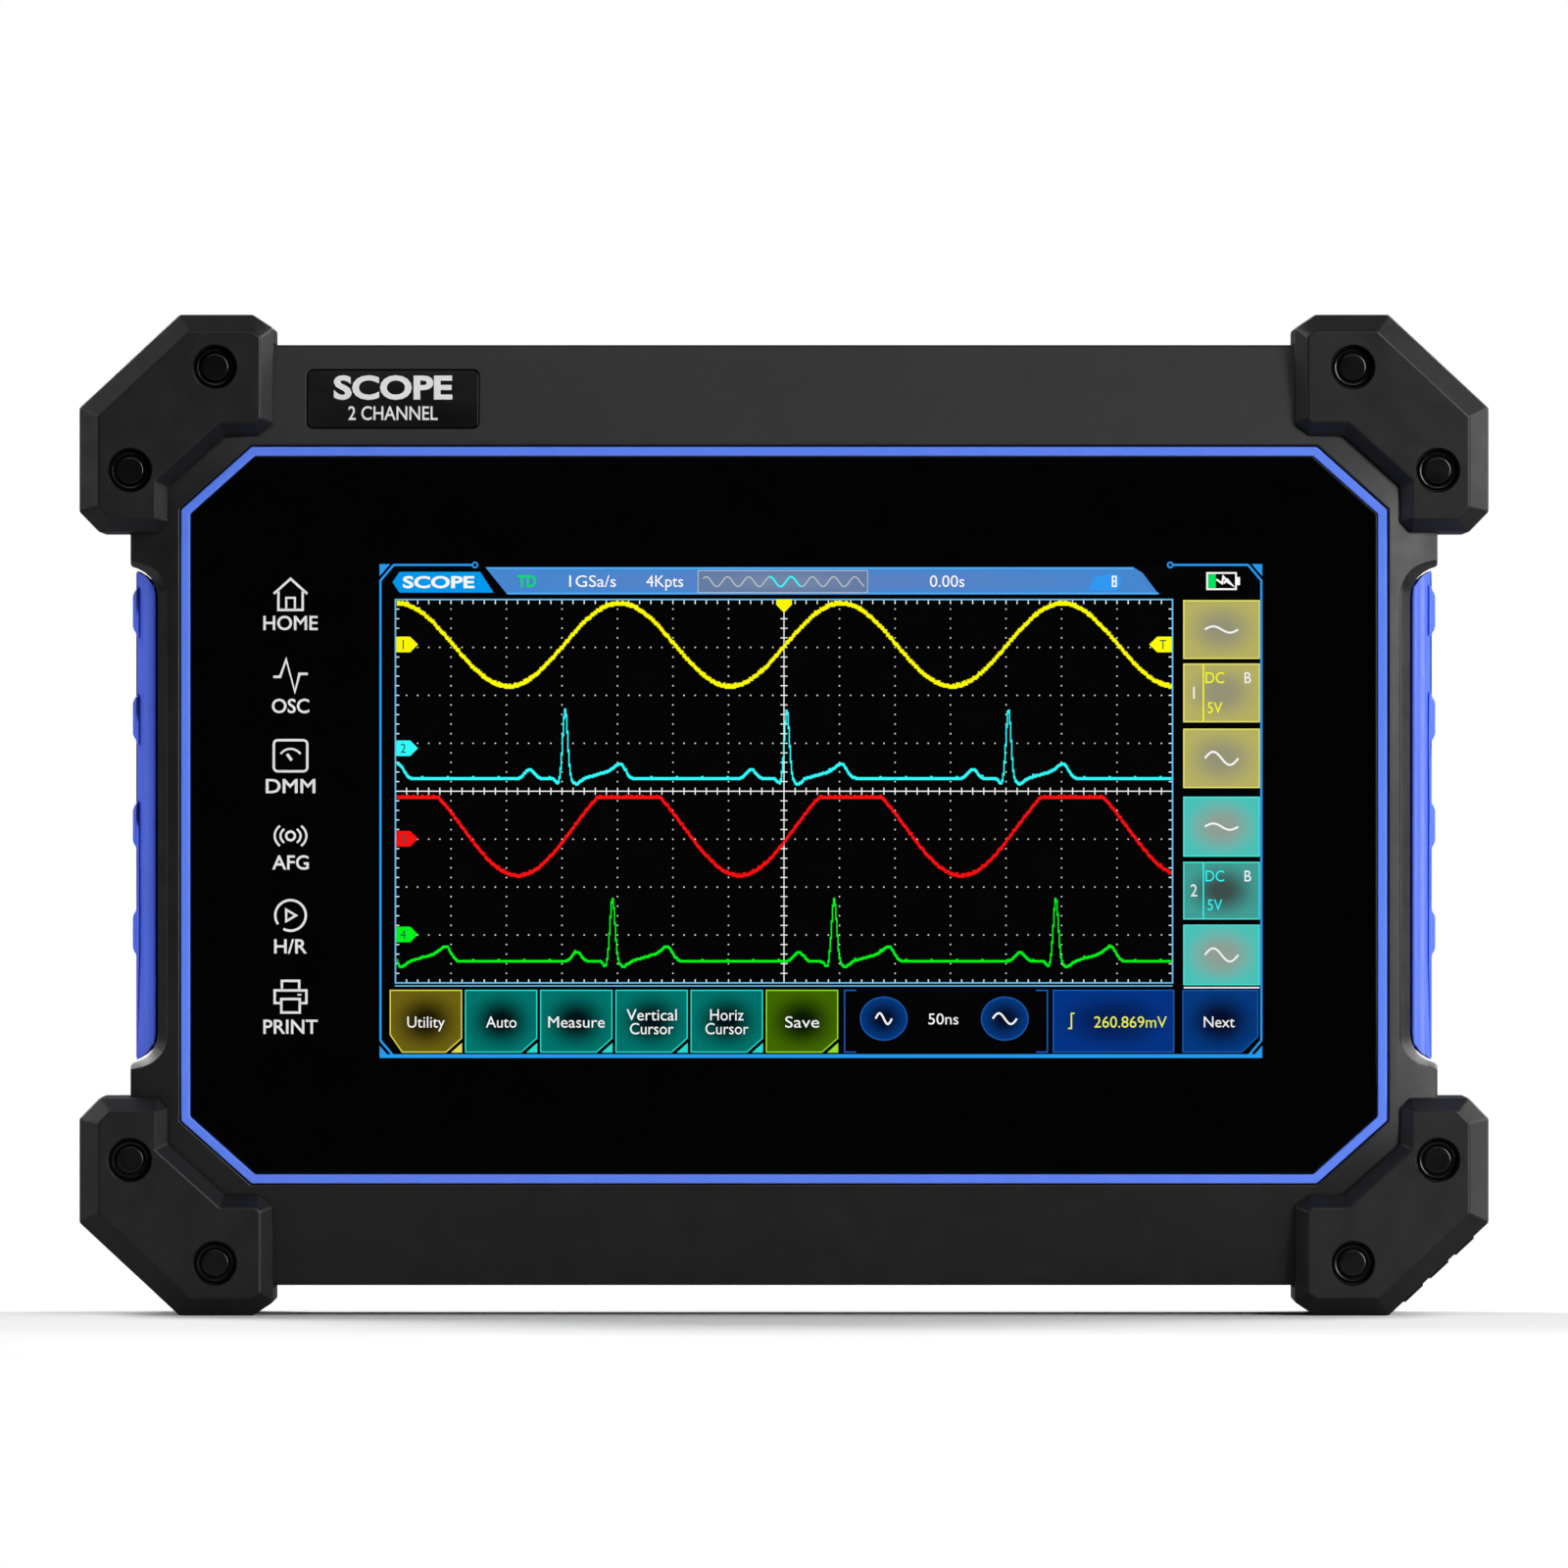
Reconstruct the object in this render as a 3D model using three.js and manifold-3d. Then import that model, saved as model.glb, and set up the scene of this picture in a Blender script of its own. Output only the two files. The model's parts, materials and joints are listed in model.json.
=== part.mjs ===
// Handheld tablet oscilloscope: a two-shell case with rubber corner bumpers, side grips, a touch display,
// a connector bay in the top rear edge, a fold-out stand on the back, and the electronics inside.
//
// Millimetres. +X is to the user's right, +Z is up and the display faces -Y. The origin is on the surface
// that the instrument stands on, under the middle of its box. Outlines are drawn in the XZ plane about the
// middle of the case, counterclockwise as the user sees them, and the whole group is lifted by half its height.
import * as THREE from "three";
import { mergeVertices } from "three/addons/utils/BufferGeometryUtils.js";
import Module from "manifold-3d";

const wasm = await Module();
wasm.setup();

// ---------------------------------------------------------------- driving dimensions

const GAP = 0.3; // between a piece and the pocket that was cut for it
const SNUG = 0.15; // between straight-sided pieces that sit in each other
const OUT = 130; // how far a cut runs to be clear of every face of the case

const HALF_HEIGHT = 86.8; // of the whole instrument, over its bumpers
const CASE = {
  halfWidth: 113.4,
  halfHeight: 81.6,
  front: -20.8, // the bezel's highest line, along the accent ring
  rear: 21,
  bezelSlope: 0.2, // how fast the bezel falls away from the ring, on all sides
  rearChamfer: 4,
  wall: 2.5,
  frontEnd: -4.15, // the front shell's rear edge
  rearStart: -3.25, // the rear shell's front edge
};
const BACK = { halfWidth: 113.4, halfHeight: 81.6, cutX: 14, cutZ: 15 }; // the rear face's outline, octagonal
// The case's corners inside the bumpers.
const EAR = { top: 84, side: 118, fromX: 91.5, fromZ: 51.5, cutX: 101.5, cutZ: 68.6 };
// The hollow in each side that a grip lies in.
const SCALLOP = { x: 108.7, endZ: 43.2, flatZ: 37.9, bevelDepth: 2.8, bevelWidth: 1.7, bevelY: 17.5 };
const RING = {
  halfWidth: 104.6,
  halfHeight: 63.9,
  cutX: 12.2,
  cutZ: 10.9,
  width: 1.6,
  front: -20.95,
  back: -18.8,
};
const GLASS = { front: -20.65, back: -18.85 };
const NAMEPLATE = { x0: -82.7, x1: -53, z0: 67.2, z1: 77.2, radius: 1, thickness: 0.9 };
const SHELF = { front: -18.5, back: -15.5 }; // the ledge that the glass is bonded to
const CAVITY = { halfWidth: 105.5, halfHeight: 78.8, cutX: 17.5, cutZ: 18.8, rear: 18.5 };
const DISPLAY = { x: 6.6, z: 0.75, width: 164.9, height: 100, front: -18.4, back: -12.7 };
const BRACKET = { reach: 4, fold: 3, window: 22, thickness: 1.6, lip: 1 }; // the tray behind the display
const BUMPER = { front: -24, rear: 24, frontChamfer: 3, rearChamfer: 2.5 };
const BUMPER_SCREWS = [
  [98.65, 77.7],
  [113.4, 59.8],
];
const BUMPER_SCREW = { headY: -20.3, tipY: -8.5, headRadius: 2.8, holeEnd: -7.5, counterbore: 3.65 };
// The upper right bumper's outline as [x, z, how far the edge that starts there is set in at the front face].
const BUMPER_OUTLINE = [
  [88.6, 84.5, 2.2],
  [88.6, 67.9, 2.0],
  [91.2, 65.9, 2.2],
  [97.0, 65.9, 2.2],
  [106.9, 57.0, 2.2],
  [106.9, 50.9, 2.0],
  [108.8, 49.0, 2.4],
  [118.7, 49.0, 3.0],
  [122.2, 52.6, 3.4],
  [122.2, 70.7, 3.5],
  [104.9, 86.8, 2.9],
  [92.1, 86.8, 2.6],
];
const PAD = { shifts: [-6, 0, 6], halfLength: 2.2, proud: 0.3, rear: 19 }; // on a bumper's slanting face
const GRIP = { inner: 109, outer: 112.6, halfDepth: 16.2, halfHeight: 44, curveX: 3.4, curveY: 6.5 };
// A grip's ribs, with half the width and half the height of their feet and of their tops.
const RIB = { count: 4, topZ: 35.4, pitch: 18.6, sunk: 0.9, proud: 0.6, foot: [13.4, 4.6], top: [10.5, 3] };
const BAY = { halfWidth: 78, floor: 66, front: -0.75 }; // the connectors' recess, open to the top and rear
const JACK_Y = 8;
const BNC_X = { bnc_channel_1: -67, bnc_channel_2: -48, bnc_generator: -29 };
const BANANA_X = { dmm_jack_10a: 20, dmm_jack_ma: 37, dmm_jack_common: 54, dmm_jack_volt_ohm: 71 };
const BNC_SHANK = 4.9;
const BANANA_SHANK = 4.6;
const JACK_BOARD_TOP = 50.2;
const JACK_BOARD = { x0: -76, x1: 78, y0: -0.5, y1: 15.8, z0: JACK_BOARD_TOP - 1.6, z1: JACK_BOARD_TOP };
const PORTS = {
  x: -5,
  coverWidth: 28,
  coverRear: 16,
  coverThickness: 2.2,
  floor: 60.6,
  wellHalf: 13,
  y0: 3,
  y1: 15,
};
const HINGE = { y: 2, z: BAY.floor - PORTS.coverThickness / 2, pinRadius: 0.6, boreRadius: 0.8 };
const USB_A = { x0: PORTS.x - 11.8, x1: PORTS.x + 1.3, y0: 5.8, y1: 11.8 };
const USB_C = { x0: PORTS.x + 3.2, x1: PORTS.x + 12, y0: 7.2, y1: 10.4 };
const PORT_FACE = PORTS.floor + 0.6;
const BUTTON = { x: 84.2, y: 9, width: 4.6, length: 12, proud: 0.3, travel: 0.8, flange: [3, 6.8, 2.4] };
const SWITCH_TOP = CAVITY.halfHeight - 2 * BUTTON.travel - 2.1;
const POWER_SWITCH = {
  x0: BUTTON.x - 2.8,
  x1: BUTTON.x + 2.8,
  y0: BUTTON.y - 3,
  y1: BUTTON.y + 3,
  z0: SWITCH_TOP - 3.4,
  z1: SWITCH_TOP,
};
const STAND = {
  halfWidth: 60,
  legWidth: 14.7,
  foot: -73,
  barHeight: 16,
  cornerCut: 5,
  axisZ: 22,
  thickness: 4.2,
  pinRadius: 1.2,
};
STAND.outerY = CASE.rear - 0.2;
STAND.innerY = STAND.outerY - STAND.thickness;
STAND.axisY = (STAND.outerY + STAND.innerY) / 2;
const STAND_RECESS = { grow: 0.4, rim: 2, above: 2.8 }; // around the stand, and its wall
const STAND_FOOT = { halfWidth: 25, height: 2.4 }; // the notch for the rubber foot
const STAND_GROOVE = { halfWidth: 34, from: 7, to: 12, radius: 2, depth: 1 }; // across the cross bar
const FINGER_NOTCH = { halfWidth: 11, below: 5 }; // in the case under the cross bar
const BATTERY = { halfWidth: 37, bottom: -46, top: 18, front: 4, clearance: 0.5 };
const DOOR = { halfWidth: 41, bottom: -53, top: 22, thickness: 2.2, ledge: 0.5 };
const DOOR_GROOVES = { count: 4, halfWidth: 14, fromTop: 6, pitch: 3, height: 1.4, depth: 0.6 };
const DOOR_SCREWS = [
  [-33, -50],
  [33, -50],
];
const DOOR_SCREW = { tipY: 14.5, headRadius: 2.2, shankRadius: 1.2, postRadius: 3.2, postFront: 12.5 };
const CASE_SCREW = { x: 93, z: 60, postRadius: 4, headY: 16.3, tipY: -13, headRadius: 2.7, counterbore: 3.3 };
const SCREW_SHANK = 1.5;
// A screw head's heights in millimetres and its radii as shares of the head's own.
const SCREW_HEAD = { height: 1.9, shoulder: 1.5, edge: 0.5, depth: 1.2, shoulderRadius: 0.7, socketRadius: 0.42 };
const RATING = { halfWidth: 23, z0: 34, z1: 56, recess: 0.5, back: 0.35, front: 0.05 }; // below the rear face
const SLOTS = [
  { from: -62, to: -32, pitch: 5, width: 2.2, z0: 35, z1: 55 },
  { from: 32, to: 62, pitch: 5, width: 2.2, z0: 35, z1: 55 },
  { from: -88, to: -72, pitch: 4, width: 1.8, z0: -44, z1: -30 },
];
const SEAL = { front: -4, rear: -3.4, setIn: 0.9, width: 1.1 };
const BOARD = { front: -8.6, back: -7, x0: -76, x1: 88, z0: -46, z1: 46 };
const SHIELD = { x0: -72, x1: -24, z0: 12, z1: 44, height: 4.2 };
const HEAT_SINK = { x0: 4, x1: 52, z0: -10, z1: 30, base: 2, rear: -1.4, fins: 8, finPitch: 6, finWidth: 2 };
const RIBBON = { halfWidth: 14, thickness: 0.35, drop: 7, slot: 4.6 };
const DMM_BOARD = { x0: 64, x1: 90, y0: 3, y1: 4.6, z0: -44, z1: 34 };
const FUSES = {
  fuse_10a: { x: 71, y: 10.4, radius: 5, z0: -34, z1: 4 },
  fuse_ma: { x: 83, y: 8.4, radius: 3.2, z0: -30, z1: 2 },
};
const AERIAL = { x0: -98, x1: -90, y0: 6, y1: 6.8, z0: -16, z1: 16 };
const SPEAKER = { x: -80, z: -37, radius: 10, y0: 12.6, y1: 17.6 };
const ROUND = 24; // sides of a visible round piece
const COARSE = 12; // sides of a hidden or very small one

// ---------------------------------------------------------------- colours

const finish = (color, roughness, metalness = 0) =>
  new THREE.MeshStandardMaterial({ color, roughness, metalness });
const MATERIALS = {
  case: finish(0x2e2e2e, 0.5),
  rubber: finish(0x282828, 0.65),
  accent: finish(0x4f72f0, 0.4),
  grip: finish(0x4263dd, 0.5),
  glass: finish(0x020203, 0.05),
  screen: finish(0x0a1420, 0.3),
  label: finish(0x0c0c0c, 0.3),
  screw: finish(0x151515, 0.35, 0.6),
  steel: finish(0xb4b6b8, 0.3, 1),
  nickel: finish(0xc9c8c2, 0.22, 1),
  aluminium: finish(0xa5a8aa, 0.4, 1),
  board: finish(0x14532e, 0.5),
  jackRed: finish(0xb01818, 0.4),
  jackBlack: finish(0x141414, 0.4),
  battery: finish(0x2b3a55, 0.5),
  flex: finish(0xa8651f, 0.45),
  paper: finish(0xb9bcc0, 0.6),
  ceramic: finish(0xe4dfd2, 0.5),
};

// ---------------------------------------------------------------- geometry helpers

// A closed three.js geometry as a manifold-3d solid.
function solid(geometry) {
  const flat = geometry.index ? geometry.toNonIndexed() : geometry;
  const bare = new THREE.BufferGeometry().setAttribute("position", flat.getAttribute("position"));
  const merged = mergeVertices(bare, 1e-4);
  return new wasm.Manifold(
    new wasm.Mesh({
      numProp: 3,
      vertProperties: merged.attributes.position.array,
      triVerts: new Uint32Array(merged.index.array),
    }),
  );
}

// A manifold-3d solid as a three.js geometry.
function geometryOf(made) {
  const mesh = made.getMesh();
  const positions = new Float32Array(mesh.numVert * 3);
  for (let i = 0; i < mesh.numVert; i++)
    positions.set(mesh.vertProperties.subarray(i * mesh.numProp, i * mesh.numProp + 3), i * 3);
  return new THREE.BufferGeometry()
    .setAttribute("position", new THREE.BufferAttribute(positions, 3))
    .setIndex(new THREE.BufferAttribute(mesh.triVerts, 1));
}

const cutAll = (from, tools) => tools.reduce((left, tool) => left.subtract(tool), from);
const joinAll = (solids) => solids.reduce((whole, piece) => whole.add(piece));

// A box between two values on each axis.
function box(x0, x1, y0, y1, z0, z1) {
  const geometry = new THREE.BoxGeometry(x1 - x0, y1 - y0, z1 - z0);
  return solid(geometry.translate((x0 + x1) / 2, (y0 + y1) / 2, (z0 + z1) / 2));
}

const boxOf = ({ x0, x1, y0, y1, z0, z1 }) => box(x0, x1, y0, y1, z0, z1);

// A rod along X, Y or Z between two values, through the point (a, b) on the other two axes in XYZ order.
function rod(axis, a, b, radius, from, to, sides = COARSE) {
  const geometry = new THREE.CylinderGeometry(radius, radius, to - from, sides);
  const middle = (from + to) / 2;
  if (axis === "x") return solid(geometry.rotateZ(Math.PI / 2).translate(middle, a, b));
  if (axis === "y") return solid(geometry.translate(a, middle, b));
  return solid(geometry.rotateX(Math.PI / 2).translate(a, b, middle));
}

// An outline extruded along Y from one value to another.
function prism(outline, y0, y1) {
  const shape = new THREE.Shape(outline.map(([x, z]) => new THREE.Vector2(x, z)));
  const geometry = new THREE.ExtrudeGeometry(shape, { depth: y1 - y0, bevelEnabled: false });
  return solid(geometry.rotateX(Math.PI / 2).translate(0, y1, 0));
}

// Skins a stack of outlines [y, outline], which have the same number of points, from front to rear.
function loft(stack) {
  const count = stack[0][1].length;
  const positions = stack.flatMap(([y, outline]) => outline.flatMap(([x, z]) => [x, y, z]));
  const index = [];
  for (let level = 0; level + 1 < stack.length; level++)
    for (let i = 0; i < count; i++) {
      const near = level * count + i;
      const nearNext = level * count + ((i + 1) % count);
      index.push(near, nearNext + count, nearNext, near, near + count, nearNext + count);
    }
  const flat = (outline) => outline.map(([x, z]) => new THREE.Vector2(x, z));
  const capOf = (outline) => THREE.ShapeUtils.triangulateShape(flat(outline), []);
  for (const [a, b, c] of capOf(stack[0][1])) index.push(a, b, c);
  const last = (stack.length - 1) * count;
  for (const [a, b, c] of capOf(stack.at(-1)[1])) index.push(last + a, last + c, last + b);
  const geometry = new THREE.BufferGeometry();
  geometry.setAttribute("position", new THREE.Float32BufferAttribute(positions, 3));
  return solid(geometry.setIndex(index));
}

// Moves each edge of a counterclockwise outline outward, by one distance or by one for each edge.
function offset(outline, distance) {
  const count = outline.length;
  const lines = outline.map(([x, z], i) => {
    const [nextX, nextZ] = outline[(i + 1) % count];
    const length = Math.hypot(nextX - x, nextZ - z);
    const normal = [(nextZ - z) / length, (x - nextX) / length];
    const shift = Array.isArray(distance) ? distance[i] : distance;
    return { normal, reach: normal[0] * x + normal[1] * z + shift };
  });
  return lines.map(({ normal: [a, b], reach: p }, i) => {
    const { normal: [c, d], reach: q } = lines[(i + count - 1) % count];
    const det = a * d - b * c;
    return [(p * d - b * q) / det, (a * q - p * c) / det];
  });
}

// The whole outline from its part in the upper right quarter, listed from the right side up to the top.
function fourfold(quarter) {
  const flip = (points, sx, sz) => points.map(([x, z]) => [sx * x, sz * z]);
  const back = [...quarter].reverse();
  return [...quarter, ...flip(back, -1, 1), ...flip(quarter, -1, -1), ...flip(back, 1, -1)];
}

// An octagon: a rectangle with its corners cut.
const octagon = ({ halfWidth, halfHeight, cutX, cutZ }) =>
  fourfold([
    [halfWidth, halfHeight - cutZ],
    [halfWidth - cutX, halfHeight],
  ]);

const rectangle = (x0, x1, z0, z1) => [
  [x0, z0],
  [x1, z0],
  [x1, z1],
  [x0, z1],
];

// A rectangle with arcs for corners.
function roundedRectangle(x0, x1, z0, z1, radius, steps = 5) {
  const corners = [
    [x1 - radius, z0 + radius, -Math.PI / 2],
    [x1 - radius, z1 - radius, 0],
    [x0 + radius, z1 - radius, Math.PI / 2],
    [x0 + radius, z0 + radius, Math.PI],
  ];
  return corners.flatMap(([x, z, start]) =>
    Array.from({ length: steps + 1 }, (_, i) => {
      const angle = start + (i * Math.PI) / 2 / steps;
      return [x + radius * Math.cos(angle), z + radius * Math.sin(angle)];
    }),
  );
}

// A profile of [radius, z] points turned about the vertical line through (x, y), listed from the top down.
function turned(profile, x, y, sides = ROUND) {
  const points = profile.map(([radius, z]) => new THREE.Vector2(radius, z)).reverse();
  return solid(new THREE.LatheGeometry(points, sides).rotateX(Math.PI / 2).translate(x, y, 0));
}

// ---------------------------------------------------------------- the group

const instrument = new THREE.Group();
instrument.position.z = HALF_HEIGHT;

function piece(name, made, material) {
  const mesh = new THREE.Mesh(made.isBufferGeometry ? made : geometryOf(made), material);
  mesh.name = name;
  instrument.add(mesh);
  return mesh;
}

// ---------------------------------------------------------------- case block

// The upper right quarter of the case's outline, where the hollow for the grip is cut back by `bevel`.
function caseQuarter(grow, bevel) {
  const scallopX = SCALLOP.x + grow - bevel;
  const sideX = CASE.halfWidth + grow;
  const endZ = SCALLOP.endZ - grow + bevel;
  const sweep = new THREE.QuadraticBezierCurve(
    new THREE.Vector2(scallopX, SCALLOP.flatZ - grow + bevel / 4),
    new THREE.Vector2(scallopX + 0.3, endZ - 1.2),
    new THREE.Vector2(sideX, endZ),
  );
  return [
    ...sweep.getPoints(6).map(({ x, y }) => [x, y]),
    [sideX, EAR.fromZ - grow],
    [EAR.side + grow, EAR.fromZ - grow],
    [EAR.side + grow, EAR.cutZ + grow / 2],
    [EAR.cutX + grow / 2, EAR.top + grow],
    [EAR.fromX - grow, EAR.top + grow],
    [EAR.fromX - grow, CASE.halfHeight + grow],
  ];
}

const ringOutline = octagon(RING);

// The outer form of both shells together, grown on every side to cut the pockets of the pieces that sit on it.
function caseBlock(grow) {
  const far = 40;
  const bevelAt = far - SCALLOP.bevelY;
  const bevel = (bevelAt * SCALLOP.bevelWidth) / SCALLOP.bevelDepth;
  const level = (y, cut) => [y, fourfold(caseQuarter(grow, cut))];
  const sides = loft([
    level(-SCALLOP.bevelY - bevelAt, bevel),
    level(-SCALLOP.bevelY, 0),
    level(SCALLOP.bevelY, 0),
    level(SCALLOP.bevelY + bevelAt, bevel),
  ]);
  const front = CASE.front - grow;
  const bezel = loft([
    [front, ringOutline],
    [front + far * CASE.bezelSlope, offset(ringOutline, far)],
    [far, offset(ringOutline, far)],
  ]);
  const back = octagon(BACK);
  const rear = CASE.rear + grow;
  const rearFace = loft([
    [-far, offset(back, far - CASE.rearChamfer)],
    [rear - far, offset(back, far - CASE.rearChamfer)],
    [rear, offset(back, -CASE.rearChamfer)],
  ]);
  return sides.intersect(bezel).intersect(rearFace);
}

const block = caseBlock(0);
const pocketBlock = caseBlock(GAP);
const cavityOutline = octagon(CAVITY);

// ---------------------------------------------------------------- front shell and display stack

// The display module's outline, grown on every side.
const displayOutline = (grow) =>
  rectangle(
    DISPLAY.x - DISPLAY.width / 2 - grow,
    DISPLAY.x + DISPLAY.width / 2 + grow,
    DISPLAY.z - DISPLAY.height / 2 - grow,
    DISPLAY.z + DISPLAY.height / 2 + grow,
  );

function frontShell() {
  const half = block.intersect(box(-OUT, OUT, -OUT, CASE.frontEnd, -OUT, OUT));
  const posts = [];
  const holes = [];
  for (const sx of [-1, 1])
    for (const sz of [-1, 1]) {
      const [x, z] = [sx * CASE_SCREW.x, sz * CASE_SCREW.z];
      posts.push(rod("y", x, z, CASE_SCREW.postRadius, SHELF.back - 0.5, CASE.frontEnd));
      holes.push(rod("y", x, z, SCREW_SHANK + GAP, CASE_SCREW.tipY - 1, 0));
      for (const [holeX, holeZ] of BUMPER_SCREWS)
        holes.push(rod("y", sx * holeX, sz * holeZ, SCREW_SHANK + GAP, -OUT, BUMPER_SCREW.holeEnd));
    }
  const cavity = cutAll(prism(cavityOutline, SHELF.back, 0), posts);
  return cutAll(half, [
    cavity,
    prism(offset(ringOutline, SNUG), -OUT, SHELF.front),
    prism(displayOutline(GAP), -OUT, SHELF.back + 1),
    nameplate(SNUG, NAMEPLATE.thickness + GAP),
    ...holes,
  ]);
}

// The plate in the top of the bezel, following its slope, or the shallow pocket that the plate lies in.
function nameplate(grow, depth) {
  const { x0, x1, z0, z1, radius } = NAMEPLATE;
  const outline = roundedRectangle(x0 - grow, x1 + grow, z0 - grow, z1 + grow, radius + grow);
  return prism(outline, -OUT, 0).subtract(caseBlock(-depth));
}

piece("front_shell", frontShell(), MATERIALS.case);
piece("nameplate", nameplate(0, NAMEPLATE.thickness).intersect(block), MATERIALS.label);

const ringInside = prism(offset(ringOutline, -RING.width), -OUT, 0);
const glassOutline = offset(ringOutline, -RING.width - SNUG);
piece("accent_ring", prism(ringOutline, RING.front, RING.back).subtract(ringInside), MATERIALS.accent);
piece("touch_glass", prism(glassOutline, GLASS.front, GLASS.back), MATERIALS.glass);

piece("lcd_module", prism(displayOutline(0), DISPLAY.front, DISPLAY.back), MATERIALS.screen);

// The pressed tray that clamps the display from behind: a plate with a window and a folded rim.
function lcdBracket() {
  const plate = DISPLAY.back + SNUG;
  const tray = prism(displayOutline(BRACKET.reach), plate - BRACKET.thickness, plate + BRACKET.lip);
  return cutAll(tray, [
    prism(displayOutline(BRACKET.fold), -OUT, plate),
    prism(displayOutline(-BRACKET.window), -OUT, OUT),
  ]);
}
piece("lcd_bracket", lcdBracket(), MATERIALS.aluminium);

// ---------------------------------------------------------------- main board and what is on it

piece("main_board", boxOf({ ...BOARD, y0: BOARD.front, y1: BOARD.back }), MATERIALS.board);
const shield = boxOf({ ...SHIELD, y0: BOARD.back + SNUG, y1: BOARD.back + SHIELD.height });
piece("afe_shield", shield, MATERIALS.steel);

// A finned block over the processor and the converter.
function heatSink() {
  const { x0, x1, z0, z1, base, rear, fins, finPitch, finWidth } = HEAT_SINK;
  const plate = box(x0, x1, BOARD.back + SNUG, BOARD.back + base, z0, z1);
  const rows = Array.from({ length: fins }, (_, i) => {
    const x = x0 + 1 + i * finPitch;
    return box(x, x + finWidth, BOARD.back + 1, rear, z0, z1);
  });
  return joinAll([plate, ...rows]);
}
piece("heat_sink", heatSink(), MATERIALS.aluminium);

// The display's ribbon leaves the module under the bracket and folds back to the board's lower edge.
function displayFlex() {
  const { halfWidth, thickness, drop, slot } = RIBBON;
  const front = DISPLAY.back - 2;
  const rear = BOARD.front + 1.2;
  const edge = DISPLAY.z - DISPLAY.height / 2;
  const outer = box(-halfWidth, halfWidth, front, rear, edge - drop, BOARD.z0 - 0.4);
  const inner = box(-OUT, OUT, front + thickness, rear - thickness, edge - drop + thickness, 0);
  return cutAll(outer, [inner, box(-OUT, OUT, front - 1, front + 1, edge - slot, 0)]);
}
piece("display_flex", displayFlex(), MATERIALS.flex);

// ---------------------------------------------------------------- rear shell

// The stand's U, open to the top, or the outline of the recess that it folds into.
function standOutline(grow) {
  const { halfWidth, legWidth, foot, barHeight, axisZ, cornerCut: cut } = STAND;
  const [outer, inner] = [halfWidth + grow, halfWidth - legWidth - grow];
  const [bottom, barTop, top] = [foot - grow, foot + barHeight + grow, axisZ + (grow ? STAND_RECESS.above : 0)];
  return [
    [outer, top],
    [inner, top],
    [inner, barTop],
    [-inner, barTop],
    [-inner, top],
    [-outer, top],
    [-outer, bottom + cut],
    [-outer + cut, bottom],
    [outer - cut, bottom],
    [outer, bottom + cut],
  ];
}

// The well under the hinged cover, grown on its sides and its floor.
function portWell(grow) {
  const { x, y0, y1, floor } = PORTS;
  const half = PORTS.wellHalf + grow;
  return box(x - half, x + half, y0 - grow, y1 + grow, floor - grow, BAY.floor + 1);
}

// What the cover lies in, with a notch for a fingernail at its rear edge.
function coverRecess() {
  const half = PORTS.coverWidth / 2 + GAP;
  const bottom = BAY.floor - PORTS.coverThickness - GAP;
  const front = HINGE.y - PORTS.coverThickness / 2 - 0.5;
  const recess = box(PORTS.x - half, PORTS.x + half, front, PORTS.coverRear + GAP, bottom, OUT);
  const notch = box(PORTS.x - 5, PORTS.x + 5, PORTS.coverRear, PORTS.coverRear + 3, bottom + 0.6, OUT);
  return recess.add(notch);
}

// A row of slots through the rear wall.
function slotRow({ from, to, pitch, width, z0, z1 }) {
  const count = Math.round((to - from) / pitch) + 1;
  return Array.from({ length: count }, (_, i) => {
    const x = from + i * pitch;
    return box(x - width / 2, x + width / 2, CAVITY.rear - 2, OUT, z0, z1);
  });
}

function stadium(x, y, width, length, z0, z1) {
  const reach = (length - width) / 2;
  return joinAll([
    rod("z", x, y - reach, width / 2, z0, z1, ROUND),
    rod("z", x, y + reach, width / 2, z0, z1, ROUND),
    box(x - width / 2, x + width / 2, y - reach, y + reach, z0, z1),
  ]);
}

// The well that the battery lies in, grown on its sides and its floor.
function batteryWell(grow) {
  const margin = BATTERY.clearance + grow;
  const half = BATTERY.halfWidth + margin;
  return box(-half, half, BATTERY.front - margin, OUT, BATTERY.bottom - margin, BATTERY.top + margin);
}

// The battery door's recess, from a depth below the rear face, grown on its sides.
function doorRecess(grow, depth) {
  const half = DOOR.halfWidth + grow;
  return box(-half, half, CASE.rear - depth, OUT, DOOR.bottom - grow, DOOR.top + grow);
}

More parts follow.
